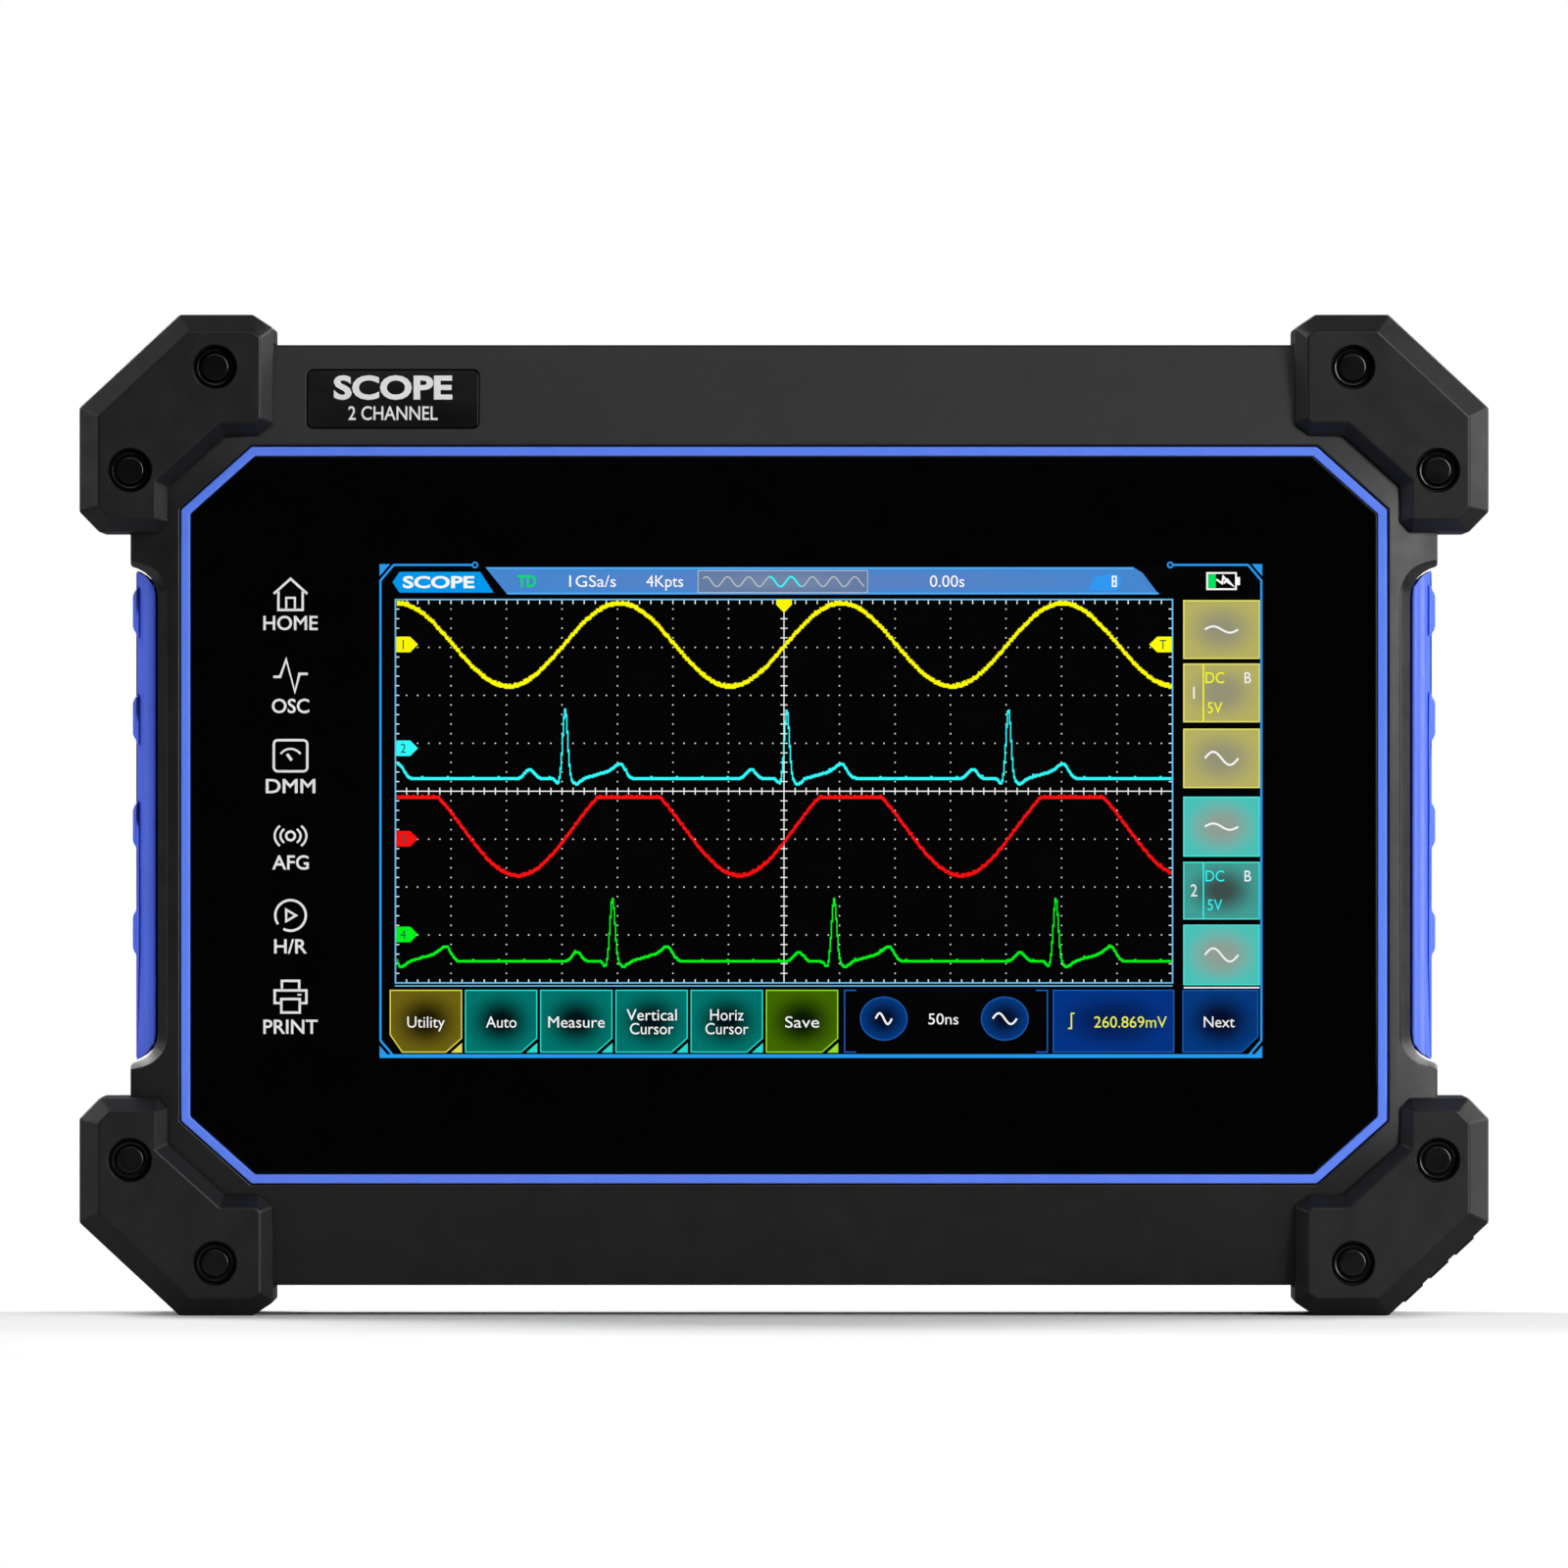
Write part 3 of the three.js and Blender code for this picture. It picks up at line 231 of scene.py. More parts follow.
INSULATOR = moulded("white_insulator", (0.78, 0.77, 0.72), 0.35, 1800, 0.00001, mottling=0.03)
SOCKET_RED = moulded("socket_red", (0.45, 0.008, 0.008), 0.3, 2400, 0.00001, mottling=0.06)
SOCKET_BLACK = moulded("socket_black", (0.012, 0.012, 0.012), 0.3, 2400, 0.00001)
LABEL_FILM = plated("label_film", (0.5, 0.51, 0.53), 0.45, (1, 0.05, 1))
PRINT_WHITE = moulded("print_white", (0.86, 0.87, 0.88), 0.4, 2000, 0.000005, mottling=0.02)
PRINT_BLACK = moulded("print_black", (0.01, 0.01, 0.011), 0.5, 2000, 0.000005, mottling=0.02)
BOARD = circuit_board("circuit_board")
FLEX = polished("amber_film", (0.4, 0.13, 0.02), 0.3)
CELL_WRAP = moulded("cell_wrap", (0.03, 0.05, 0.11), 0.35, 900, 0.00002)
CERAMIC = polished("glazed_ceramic", (0.75, 0.7, 0.6), 0.2)

SLOT_MATERIALS = {
    "case": CASE_PLASTIC,
    "bumper_rubber": BUMPER_RUBBER,
    "grip_blue": GRIP_RUBBER,
    "accent_blue": ACCENT_PLASTIC,
    "cover_glass": COVER_GLASS,
    "display": PLATE_BLACK,
    "plate_black": PLATE_BLACK,
    "label_film": LABEL_FILM,
    "screw_black": SCREW_BLACK,
    "nickel": NICKEL,
    "jack_red": SOCKET_RED,
    "jack_black": SOCKET_BLACK,
    "steel": STEEL,
    "aluminium": ALUMINIUM,
    "board_green": BOARD,
    "flex_amber": FLEX,
    "battery_wrap": CELL_WRAP,
    "fuse_ceramic": CERAMIC,
}
NODE_SLOTS = {part["node"]: part["material_slot"] for part in frame["record"]["subparts"]}
NODE_BODIES = {node: body for body, nodes in frame["record"]["behaviour"]["bodies"].items() for node in nodes}

for node, slot in NODE_SLOTS.items():
    data = frame["nodes"][node].data
    data.materials.clear()
    data.materials.append(SLOT_MATERIALS[slot])


def lit(name, colour):
    """A colour on the lit display under its glossy glass; the backlight isn't perfectly even."""
    material, shader = principled(name, (0, 0, 0), 0.05)
    tree = material.node_tree
    backlight = spread(tree, noise(tree, 35, 2), 0, 1)
    tree.links.new(tint(tree, backlight, colour, 0.06), shader.inputs["Emission Color"])
    shader.inputs["Emission Strength"].default_value = 1
    return material


def glowing_key(name, edge, middle):
    """A key on the display that is darker (or lighter) in its middle than along its edge."""
    material, shader = principled(name, (0, 0, 0), 0.05)
    tree = material.node_tree
    coordinates = add_node(tree, "TexCoord")
    mapping = add_node(tree, "Mapping", {"Location": (-0.9, 0, -0.9), "Scale": (1.8, 0, 1.8)})
    gradient = add_node(tree, "TexGradient", gradient_type="SPHERICAL")
    ease = add_remap(tree, (0, 0.85), (0, 1), interpolation_type="SMOOTHSTEP")
    mix = add_mix(tree, edge, middle)
    tree.links.new(coordinates.outputs["Generated"], mapping.inputs["Vector"])
    tree.links.new(mapping.outputs["Vector"], gradient.inputs["Vector"])
    tree.links.new(gradient.outputs["Fac"], ease.inputs["Value"])
    tree.links.new(ease.outputs["Result"], mix.inputs["Factor"])
    tree.links.new(mix.outputs["Result"], shader.inputs["Emission Color"])
    shader.inputs["Emission Strength"].default_value = 1
    return material


# ---------------------------------------------------------------- mesh helpers


def linked(item):
    bpy.context.scene.collection.objects.link(item)
    return item


def finished(form, name):
    """The mesh of a form, which is freed."""
    mesh = bpy.data.meshes.new(name)
    form.to_mesh(mesh)
    form.free()
    return mesh


def add_piece(name, mesh, material, body=CASE, stands_for=()):
    """Links a finished mesh as a piece that rides on a body and may stand for CAD nodes."""
    mesh.materials.clear()
    mesh.materials.append(material)
    piece = linked(bpy.data.objects.new(name, mesh))
    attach(piece, body)
    if stands_for:
        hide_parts(*stands_for)


def evaluated(mesh, set_up):
    """The mesh after the modifiers that set_up(object) adds."""
    carrier = linked(bpy.data.objects.new("carrier", mesh))
    set_up(carrier)
    graph = bpy.context.evaluated_depsgraph_get()
    made = bpy.data.meshes.new_from_object(carrier.evaluated_get(graph), depsgraph=graph)
    bpy.data.objects.remove(carrier)
    return made


def smoothed(mesh, angle=40):
    """Smooth shading with face-weighted normals, sharp where faces meet at more than the angle."""
    mesh.polygons.foreach_set("use_smooth", [True] * len(mesh.polygons))
    mesh.set_sharp_from_angle(angle=math.radians(angle))

    def weighted(carrier):
        modifier = carrier.modifiers.new("normals", "WEIGHTED_NORMAL")
        modifier.keep_sharp = True

    return evaluated(mesh, weighted)


SHARP = math.radians(25)  # an edge that a bevel rounds turns at least this far


def weigh_edges(mesh, width, holes=()):
    """Gives each sharp edge its share of a bevel: less next to a short edge, none in a hole."""
    form = bmesh.new()
    form.from_mesh(mesh)
    weights = form.edges.layers.float.new("bevel_weight_edge")
    for edge in form.edges:
        if len(edge.link_faces) != 2 or edge.calc_face_angle(0) < SHARP:
            continue
        if any(hole.holds(vert.co) for vert in edge.verts for hole in holes):
            continue
        shortest = min(other.calc_length() for vert in edge.verts for other in vert.link_edges)
        edge[weights] = min(1, 0.45 * shortest / (width * MM))
    form.to_mesh(mesh)
    form.free()


def bevelled(mesh, width, segments=2, holes=()):
    """Rounds the mesh's edges by a width in millimetres, then cuts its round holes."""
    weigh_edges(mesh, width, holes)
    tools = [linked(bpy.data.objects.new("cutter", hole.mesh())) for hole in holes]

    def shape(carrier):
        rounding = carrier.modifiers.new("bevel", "BEVEL")
        rounding.limit_method = "WEIGHT"
        rounding.width = width * MM
        rounding.segments = segments
        rounding.use_clamp_overlap = False
        rounding.loop_slide = False
        for tool in tools:
            cut = carrier.modifiers.new("cut", "BOOLEAN")
            cut.operation = "DIFFERENCE"
            cut.solver = "EXACT"
            cut.object = tool

    made = smoothed(evaluated(mesh, shape))
    for tool in tools:
        bpy.data.objects.remove(tool)
    return made


class Counterbore:
    """A round hole along Y with a chamfered rim, from its floor out through a face."""

    RIM = 0.22

    def __init__(self, x, z, radius, floor, face):
        self.x, self.z, self.radius, self.floor = x, z, radius, floor
        self.depth = abs(face - floor)
        self.out = 1 if face > floor else -1

    def holds(self, point):
        """Whether a point in metres is on or inside the hole's wall."""
        spot = (point - MIDDLE) / MM
        return math.hypot(spot.x - self.x, spot.z - self.z) < self.radius

    def mesh(self):
        rim_depth = self.depth - self.RIM
        profile = [(0, 0), (self.radius, 0), (self.radius, rim_depth), (self.radius + 3, rim_depth + 3)]
        return turned([*profile, (0, rim_depth + 3)], self.x, self.floor, self.z, (0, self.out, 0), 72)


def cleaned(node):
    """A copy of a CAD node's mesh with its flat faces whole again."""
    form = bmesh.new()
    form.from_mesh(frame["nodes"][node].data)
    bmesh.ops.remove_doubles(form, verts=form.verts, dist=0.002 * MM)
    bmesh.ops.dissolve_degenerate(form, edges=form.edges, dist=0.001 * MM)
    bmesh.ops.dissolve_limit(form, angle_limit=math.radians(0.6), verts=form.verts, edges=form.edges)
    bmesh.ops.recalc_face_normals(form, faces=form.faces)
    return finished(form, node)


def refine(node, name, bevel, segments=2, holes=()):
    """A finished piece from a CAD node's own shape: flat faces whole, edges rounded, round holes recut."""
    slot = NODE_SLOTS[node]
    mesh = bevelled(cleaned(node), bevel, segments, holes)
    add_piece(name, mesh, SLOT_MATERIALS[slot], NODE_BODIES[node], (node,))


def arc(cx, cy, radius, start, end, steps=6):
    """Points on an arc, by degrees counterclockwise from the first axis."""
    turns = [math.radians(start + (end - start) * i / steps) for i in range(steps + 1)]
    return [(cx + radius * math.cos(t), cy + radius * math.sin(t)) for t in turns]


def turned(profile, x, y, z, axis, sides=64):
    """A (radius, height) profile turned about an axis through a point; six sides make a hexagon nut."""
    form = bmesh.new()
    tilt = Vector((0, 0, 1)).rotation_difference(Vector(axis)).to_matrix().to_4x4()
    turns = [2 * math.pi * i / sides for i in range(sides)]
    rings = []
    for radius, height in profile:
        if radius < 1e-6:
            rings.append([form.verts.new((0, 0, height))])
            continue
        rings.append([form.verts.new((radius * math.cos(t), radius * math.sin(t), height)) for t in turns])
    for lower, upper in zip(rings, rings[1:]):
        for i in range(sides):
            j = (i + 1) % sides
            if len(lower) == 1:
                form.faces.new((lower[0], upper[i], upper[j]))
            elif len(upper) == 1:
                form.faces.new((lower[i], upper[0], lower[j]))
            else:
                form.faces.new((lower[i], upper[i], upper[j], lower[j]))
    bmesh.ops.recalc_face_normals(form, faces=form.faces)
    form.transform(Matrix.Translation(place(x, y, z)) @ tilt @ Matrix.Scale(MM, 4))
    return finished(form, "turned")


def joined(meshes):
    """One mesh of several."""
    form = bmesh.new()
    for mesh in meshes:
        form.from_mesh(mesh)
        bpy.data.meshes.remove(mesh)
    return finished(form, "joined")


# ---------------------------------------------------------------- flat artwork

CAP_HEIGHT = 0.69  # of the built-in font, for a size of 1
SQUEEZE = 0.88  # of its width, where no width is given
FILM = 0.02  # the thickness of one layer of print
# A surface is its origin and the directions of its right, up and out, in millimetres.
ON_GLASS = ((0, GLASS_FRONT, 0), (1, 0, 0), (0, 0, 1), (0, -1, 0))
ON_REAR = ((0, REAR_FACE, 0), (-1, 0, 0), (0, 0, 1), (0, 1, 0))


class Artwork:
    """Flat print or display artwork, drawn in millimetres on a plane and built as one thin piece."""

    def __init__(self):
        self.points = []
        self.faces = []

    def polygon(self, outline):
        first = len(self.points)
        self.points += outline
        self.faces.append(tuple(range(first, first + len(outline))))
        return self

    def rectangle(self, left, right, bottom, top):
        return self.polygon([(left, bottom), (right, bottom), (right, top), (left, top)])

    def stroke(self, path, width, closed=False):
        """A line of even width along a path, with mitred corners."""
        count = len(path)
        half = width / 2
        rails = []
        for i, point in enumerate(path):
            here = Vector(point)
            before = Vector(path[i - 1]) if i or closed else None
            after = Vector(path[(i + 1) % count]) if i + 1 < count or closed else None
            entering = (here - before).normalized() if before is not None else (after - here).normalized()
            leaving = (after - here).normalized() if after is not None else entering
            bisector = entering + leaving
            if bisector.length < 1e-6:
                bisector = entering
            bisector.normalize()
            normal = Vector((-bisector.y, bisector.x))
            square = Vector((-entering.y, entering.x))
            reach = min(half / max(0.35, normal.dot(square)), 2.2 * half)
            rails.append((here + normal * reach, here - normal * reach))
        for i in range(count if closed else count - 1):
            (a, b), (c, d) = rails[i], rails[(i + 1) % count]
            self.polygon([tuple(b), tuple(d), tuple(c), tuple(a)])
        return self

    def outline(self, left, right, bottom, top, width):
        return self.stroke([(left, bottom), (right, bottom), (right, top), (left, top)], width, True)

    def text(self, words, x, z, cap, width=None, weight=0.0, starts=False):
        """Lettering `cap` high on a baseline z, in the middle of x or starting there."""
        curve = bpy.data.curves.new("words", "FONT")
        curve.body = words
        curve.resolution_u = 4
        curve.offset = weight
        carrier = linked(bpy.data.objects.new("words", curve))
        graph = bpy.context.evaluated_depsgraph_get()
        mesh = bpy.data.meshes.new_from_object(carrier.evaluated_get(graph), depsgraph=graph)
        bpy.data.objects.remove(carrier)
        bpy.data.curves.remove(curve)
        left = min(v.co.x for v in mesh.vertices)
        right = max(v.co.x for v in mesh.vertices)
        high = cap / CAP_HEIGHT
        wide = width / (right - left) if width else high * SQUEEZE
        anchor = left if starts else (left + right) / 2
        first = len(self.points)
        self.points += [(x + (v.co.x - anchor) * wide, z + v.co.y * high) for v in mesh.vertices]
        self.faces += [tuple(first + i for i in face.vertices) for face in mesh.polygons]
        bpy.data.meshes.remove(mesh)
        return self

    def build(self, name, material, surface, depth, body=CASE, slot=None):
        """Lays the artwork `depth` above a surface."""
        origin, right, up, out = [Vector(v) for v in surface]
        form = bmesh.new()
        verts = [form.verts.new(place(*(origin + right * x + up * z + out * depth))) for x, z in self.points]
        for face in self.faces:
            if len(set(face)) > 2:
                form.faces.new([verts[i] for i in face])
        form.normal_update()
        for face in form.faces:
            if face.normal.dot(out) < 0:
                face.normal_flip()
        add_piece(name, finished(form, name), material, body)

    def show(self, name, material, layer):
        """Lays the artwork on the lit display, so many films above the glass."""
        self.build(f"display_{name}", material, ON_GLASS, layer * FILM, slot="display")


# ---------------------------------------------------------------- case

HEAD_HEIGHT = 1.9  # of every screw
CASE_COUNTERBORE = 3.34
BUMPER_COUNTERBORE = 3.72
# The plug that closes a bumper screw's socket: a raised cap inside a rounded rim.
PLUG = [
    (0, 1.8),
    (1.9, 1.8),
    *arc(2.0, 1.2, 0.6, 90, 5, 7),
    (2.62, 0.75),
    (2.85, 0.7),
    *arc(3.05, 0.5, 0.35, 90, 0, 5),
    (3.45, 0),
    (0, 0),
]
NAMEPLATE_THICKNESS = 0.9


def make_case():
    refine("front_shell", "front_shell_moulding", 0.4)
    holes = []
    rear = extent("rear_shell")[1].y
    for corner in CORNERS:
        node = f"case_screw_{corner}"
        spot = centre(node)
        holes.append(Counterbore(spot.x, spot.z, CASE_COUNTERBORE, extent(node)[1].y - HEAD_HEIGHT, rear))
    refine("rear_shell", "rear_shell_moulding", 0.4, holes=holes)
    refine("accent_ring", "accent_ring_trim", 0.25)
    refine("touch_glass", "touch_glass_pane", 0.15)
    for side in ("left", "right"):
        refine(f"side_grip_{side}", f"side_grip_{side}_overmould", 0.5)


def make_bumpers():
    for corner in CORNERS:
        holes = []
        front = extent(f"bumper_{corner}")[0].y
        for number in (1, 2):
            node = f"bumper_screw_{corner}_{number}"
            spot = centre(node)
            floor = extent(node)[0].y + HEAD_HEIGHT
            holes.append(Counterbore(spot.x, spot.z, BUMPER_COUNTERBORE, floor, front))
            mesh = smoothed(turned(PLUG, spot.x, floor, spot.z, (0, -1, 0)), 50)
            add_piece(f"{node}_plug", mesh, PLUG_PLASTIC, CASE, (node,))
        refine(f"bumper_{corner}", f"bumper_{corner}_rubber", 0.32, 3, holes)


def make_nameplate():
    """The plate follows the bezel's slope, and so does its print."""
    refine("nameplate", "nameplate_plate", 0.18)
    low, high = extent("nameplate")
    fall = high.y - low.y - NAMEPLATE_THICKNESS
    slope = math.atan2(fall, high.z - low.z)
    middle = ((low.x + high.x) / 2, low.y + fall / 2, (low.z + high.z) / 2)
    up = (0, math.sin(slope), math.cos(slope))
    out = (0, -math.cos(slope), math.sin(slope))
    words = Artwork()
    words.text("SCOPE", 0, 0.1, 3.9, width=20.6, weight=0.035)
    words.text("2 CHANNEL", 0, -3.7, 2.4, width=15.5, weight=0.01)
    words.build("nameplate_print", PRINT_WHITE, (middle, (1, 0, 0), up, out), 2 * FILM)


# ---------------------------------------------------------------- touch keys

KEYS_X = -85.6
STROKE = 0.42
INNER_STROKE = 0.36
WAVE_STROKE = 0.38


def draw_icon(art, z, path, width=STROKE, closed=False):
    """A line of an icon, whose points are about the icon's middle."""
    art.stroke([(KEYS_X + x, z + y) for x, y in path], width, closed)


def home_icon(art, z):
    draw_icon(art, z, [(-2.9, 0.2), (0, 2.8), (2.9, 0.2)])
    draw_icon(art, z, [(-2.1, 0.6), (-2.1, -2.6), (2.1, -2.6), (2.1, 0.6)])
    draw_icon(art, z, [(-0.75, -2.5), (-0.75, -0.5), (0.75, -0.5), (0.75, -2.5)], INNER_STROKE)


def pulse_icon(art, z):
    pulse = [(-3.0, -0.2), (-1.8, -0.2), (-0.75, 2.8), (0.75, -2.8), (1.55, 0.3), (3.0, 0.3)]
    draw_icon(art, z, pulse, 0.44)


def meter_icon(art, z):
    corners = arc(2.2, 2.0, 0.7, 0, 90) + arc(-2.2, 2.0, 0.7, 90, 180)
    corners += arc(-2.2, -2.0, 0.7, 180, 270) + arc(2.2, -2.0, 0.7, 270, 360)
    draw_icon(art, z, corners, closed=True)
    draw_icon(art, z, arc(0, -0.9, 2.1, 35, 145, 12), INNER_STROKE)
    draw_icon(art, z, [(0.2, -0.8), (-0.6, 0.3)], 0.5)


def generator_icon(art, z):
    draw_icon(art, z, arc(0, 0, 0.75, 0, 345, 23), closed=True)
    for radius, half in ((1.75, 52), (2.75, 48)):
        for middle in (0, 180):
            waves = arc(0, 0, radius, middle - half, middle + half, 12)
            draw_icon(art, z, [(x, y * 0.85) for x, y in waves], WAVE_STROKE)


def history_icon(art, z):
    draw_icon(art, z, arc(0, 0, 2.65, -118, 215, 40))
    draw_icon(art, z, [(-0.75, -1.0), (-0.75, 1.0), (0.95, 0)], WAVE_STROKE, closed=True)


def printer_icon(art, z):
    body = [(-1.7, -1.1), (-2.75, -1.1), (-2.75, 1.1), (2.75, 1.1), (2.75, -1.1), (1.7, -1.1)]
    draw_icon(art, z, body)
    draw_icon(art, z, [(-1.5, 1.2), (-1.5, 2.75), (1.5, 2.75), (1.5, 1.2)])
    draw_icon(art, z, [(-1.6, -2.75), (1.6, -2.75), (1.6, -0.4), (-1.6, -0.4)], closed=True)
    draw_icon(art, z, [(1.2, 0.35), (1.9, 0.35)], 0.3)


# Each key's words, icon, the icon's middle, the words' baseline and their width.
TOUCH_KEYS = {
    "home": ("HOME", home_icon, 38.2, 32.15, 9.45),
    "scope": ("OSC", pulse_icon, 24.2, 17.75, 6.5),
    "meter": ("DMM", meter_icon, 10.3, 3.85, 8.6),
    "generator": ("AFG", generator_icon, -3.6, -9.4, 6.35),
    "history": ("H/R", history_icon, -17.4, -23.95, 5.7),
    "print": ("PRINT", printer_icon, -31.5, -37.9, 9.45),
}


def make_touch_keys():
    for key, (words, icon, icon_z, base, width) in TOUCH_KEYS.items():
        art = Artwork()
        icon(art, icon_z)
        art.text(words, KEYS_X, base, 2.4, width=width, weight=0.014)
        art.build(f"touch_key_{key}", PRINT_WHITE, ON_GLASS, FILM)


# ---------------------------------------------------------------- display

ACTIVE = {"left": -70.2, "right": 83.4, "bottom": -42.3, "top": 43.8}
GRID = {"left": -67.4, "right": 67.4, "bottom": -29.1, "top": 37.4, "columns": 14, "rows": 8}
GRID_STEPS = 5  # dots or ticks to a square
COLUMN = (GRID["right"] - GRID["left"]) / GRID["columns"]
ROW = (GRID["top"] - GRID["bottom"]) / GRID["rows"]
GRID_MIDDLE = (GRID["top"] + GRID["bottom"]) / 2
KEYS_BOTTOM, KEYS_TOP = -41.1, -30.4
STATUS_BASE, STATUS_CAP = 39.6, 2.0
KEY_LINE = 0.2

# How many films each kind of artwork lies above the glass.
PANEL, LINES, FACES, EDGES, INK, MARKERS, NUMBERS = range(1, 8)

YELLOW = (1.0, 0.95, 0.0)
CYAN = (0.03, 0.95, 0.95)
RED = (0.9, 0.005, 0.005)
GREEN = (0.0, 0.9, 0.01)
WHITE = (0.9, 0.9, 0.9)
AZURE = (0.02, 0.32, 0.85)
SKY = (0.14, 0.5, 0.85)
KEY_WHITE = (0.92, 0.92, 0.92)


def make_screen_base():
    panel = Artwork().rectangle(ACTIVE["left"], ACTIVE["right"], ACTIVE["bottom"], ACTIVE["top"])
    panel.show("black", polished("display_black", (0.0008, 0.0008, 0.001), 0.05), PANEL)


def make_screen_frame():
    """A bright line with slanted corners, open at the top, with a ring at each of its ends."""
    left, right = ACTIVE["left"] + 0.2, ACTIVE["right"] - 0.6
    bottom, top = ACTIVE["bottom"] + 0.5, ACTIVE["top"] - 0.4
    slant_x, slant_z = 2.3, 2.7
    width = 0.36
    lines = Artwork()
    for x, end, across in ((left, -54.0, 1), (right, 67.5, -1)):
        slant = x + across * slant_x
        lines.stroke([(end, top), (slant, top), (x, top - slant_z), (x, bottom + slant_z)], width)
        lines.stroke([(x, bottom + slant_z), (slant, bottom)], width)
    lines.rectangle(left, right, bottom - 0.32, bottom + 0.32)
    for x in (-53.6, 67.0):
        lines.stroke(arc(x, top, 0.45, 0, 330, 11), 0.26, True)
    for x, across in ((left - 0.15, 1), (right + 0.15, -1)):
        for z, along in ((top + 0.15, -1), (bottom - 0.3, 1)):
            lines.polygon([(x, z), (x + across * 1.8, z), (x, z + along * 2.1)])
    lines.show("frame_lines", lit("display_azure", AZURE), LINES)


def make_grid():
    """Dots along the squares, ticks along the axes and the edges, and a thin border."""
    left, right, bottom, top = GRID["left"], GRID["right"], GRID["bottom"], GRID["top"]
    columns = [left + i * COLUMN / GRID_STEPS for i in range(1, GRID["columns"] * GRID_STEPS)]
    rows = [bottom + i * ROW / GRID_STEPS for i in range(1, GRID["rows"] * GRID_STEPS)]
    dots = [(x, z) for x in columns[GRID_STEPS - 1 :: GRID_STEPS] for z in rows]
    dots += [(x, z) for z in rows[GRID_STEPS - 1 :: GRID_STEPS] for x in columns]
    dot = 0.1
    half = 0.085  # of a line's width
    tick = 0.6
    grid = Artwork()
    for x, z in dots:
        grid.rectangle(x - dot, x + dot, z - dot, z + dot)
    grid.rectangle(-half, half, bottom, top)
    grid.rectangle(left, right, GRID_MIDDLE - half, GRID_MIDDLE + half)
    for z in rows:
        for start, end in ((-tick, tick), (left, left + 0.65), (right - 0.65, right)):
            grid.rectangle(start, end, z - half, z + half)
    for x in columns:
        ends = ((GRID_MIDDLE - tick, GRID_MIDDLE + tick), (bottom, bottom + tick), (top - 0.8, top))
        for low, high in ends:
            grid.rectangle(x - half, x + half, low, high)
    grid.show("grid", lit("display_white", WHITE), LINES)
    border = Artwork().outline(left, right, bottom, top, 0.24)
    border.rectangle(left - 0.12, right, bottom - 0.62, bottom - 0.42)
    border.show("grid_border", lit("display_sky", SKY), FACES)


PERIOD = 38.45  # both sines and the heartbeats repeat at it
PIXEL = 0.192  # of the display, in millimetres


def heartbeat(past, height):
    """A heartbeat's height above its baseline, `past` millimetres after its spike."""

    def hump(middle, width, tall):
        return tall * math.exp(-(((past - middle) / width) ** 2))

    spike = hump(0, 0.6, height)
    dips = hump(-1.25, 0.5, -0.9) + hump(1.9, 0.9, -0.9)
    ramp = 1.4 * max(0, min(1, (past - 3) / 5)) if past < 9.6 else 0
    waves = hump(-6.2, 1.15, 1.6) + ramp + hump(9.5, 1.25, 1.2 if past < 9.6 else 2.6)
    return spike + dips + waves


def phase(x, spike):
    """How far x is past the nearest spike."""
    return (x - spike + PERIOD / 2) % PERIOD - PERIOD / 2


def draw_trace(name, colour, height, pixels, shimmer):
    """A trace as the display's own columns of pixels; every so often one sits a pixel higher."""
    count = int((GRID["right"] - GRID["left"] - 0.4) / PIXEL)
    xs = [GRID["left"] + 0.25 + i * PIXEL for i in range(count + 1)]
    levels = [max(GRID["bottom"] + 0.4, min(GRID["top"] - 0.5, height(x))) for x in xs]
    levels = [round(z / PIXEL + (i * 37 % 23 < shimmer)) * PIXEL for i, z in enumerate(levels)]
    half = pixels * PIXEL / 2
    art = Artwork()
    for x, here, after in zip(xs, levels, levels[1:]):
        art.rectangle(x, x + PIXEL, min(here, after) - half, max(here, after) + half)
    art.show(f"trace_{name}", lit(f"trace_{name}", colour), INK)


def make_traces():
    turns = 2 * math.pi / PERIOD
    draw_trace("yellow", YELLOW, lambda x: 29.5 + 7.2 * math.cos(turns * (x - 9.9)), 3.6, 7)
    draw_trace("red", RED, lambda x: min(3.1, -2.2 - 8.3 * math.cos(turns * (x + 7.7))), 3.0, 4)
    draw_trace("cyan", CYAN, lambda x: 6.3 + heartbeat(phase(x, 0.5), 11.9), 2.6, 1)
    draw_trace("green", GREEN, lambda x: -25.4 + heartbeat(phase(x, 8.7), 10.9), 2.2, 1)


# Each channel's colour and the height of its marker at the grid's left edge.
CHANNELS = {"yellow": (YELLOW, 29.6), "cyan": (CYAN, 11.6), "red": (RED, -4.1), "green": (GREEN, -20.7)}
FLAG = 1.35  # half its height


def make_markers():
    """A numbered flag for each channel, the trigger's level at the right and its time at the top."""
    left, right, top = GRID["left"] + 0.15, GRID["right"] - 0.15, GRID["top"]

    def flag(x, z, shoulder, tip):
        low, high = z - FLAG, z + FLAG
        return [(x, low), (x + shoulder, low), (x + tip, z), (x + shoulder, high), (x, high)]

    numbers = Artwork()
    for number, (name, (colour, z)) in enumerate(CHANNELS.items(), 1):
        marker = Artwork().polygon(flag(left, z, 2.4, 3.75))
        if name == "yellow":
            marker.polygon(flag(right, z, -2.5, -3.9))
            marker.polygon([(-FLAG, top), (-FLAG, top - 0.9), (0, top - 2.3), (FLAG, top - 0.9), (FLAG, top)])
        marker.show(f"marker_{name}", lit(f"marker_{name}", colour), MARKERS)
        numbers.text(str(number), left + 1.2, z - 0.8, 1.6)
    numbers.text("T", right - 1.5, 28.8, 1.6)
    numbers.show("marker_numbers", lit("marker_numbers", (0.02, 0.06, 0.06)), NUMBERS)


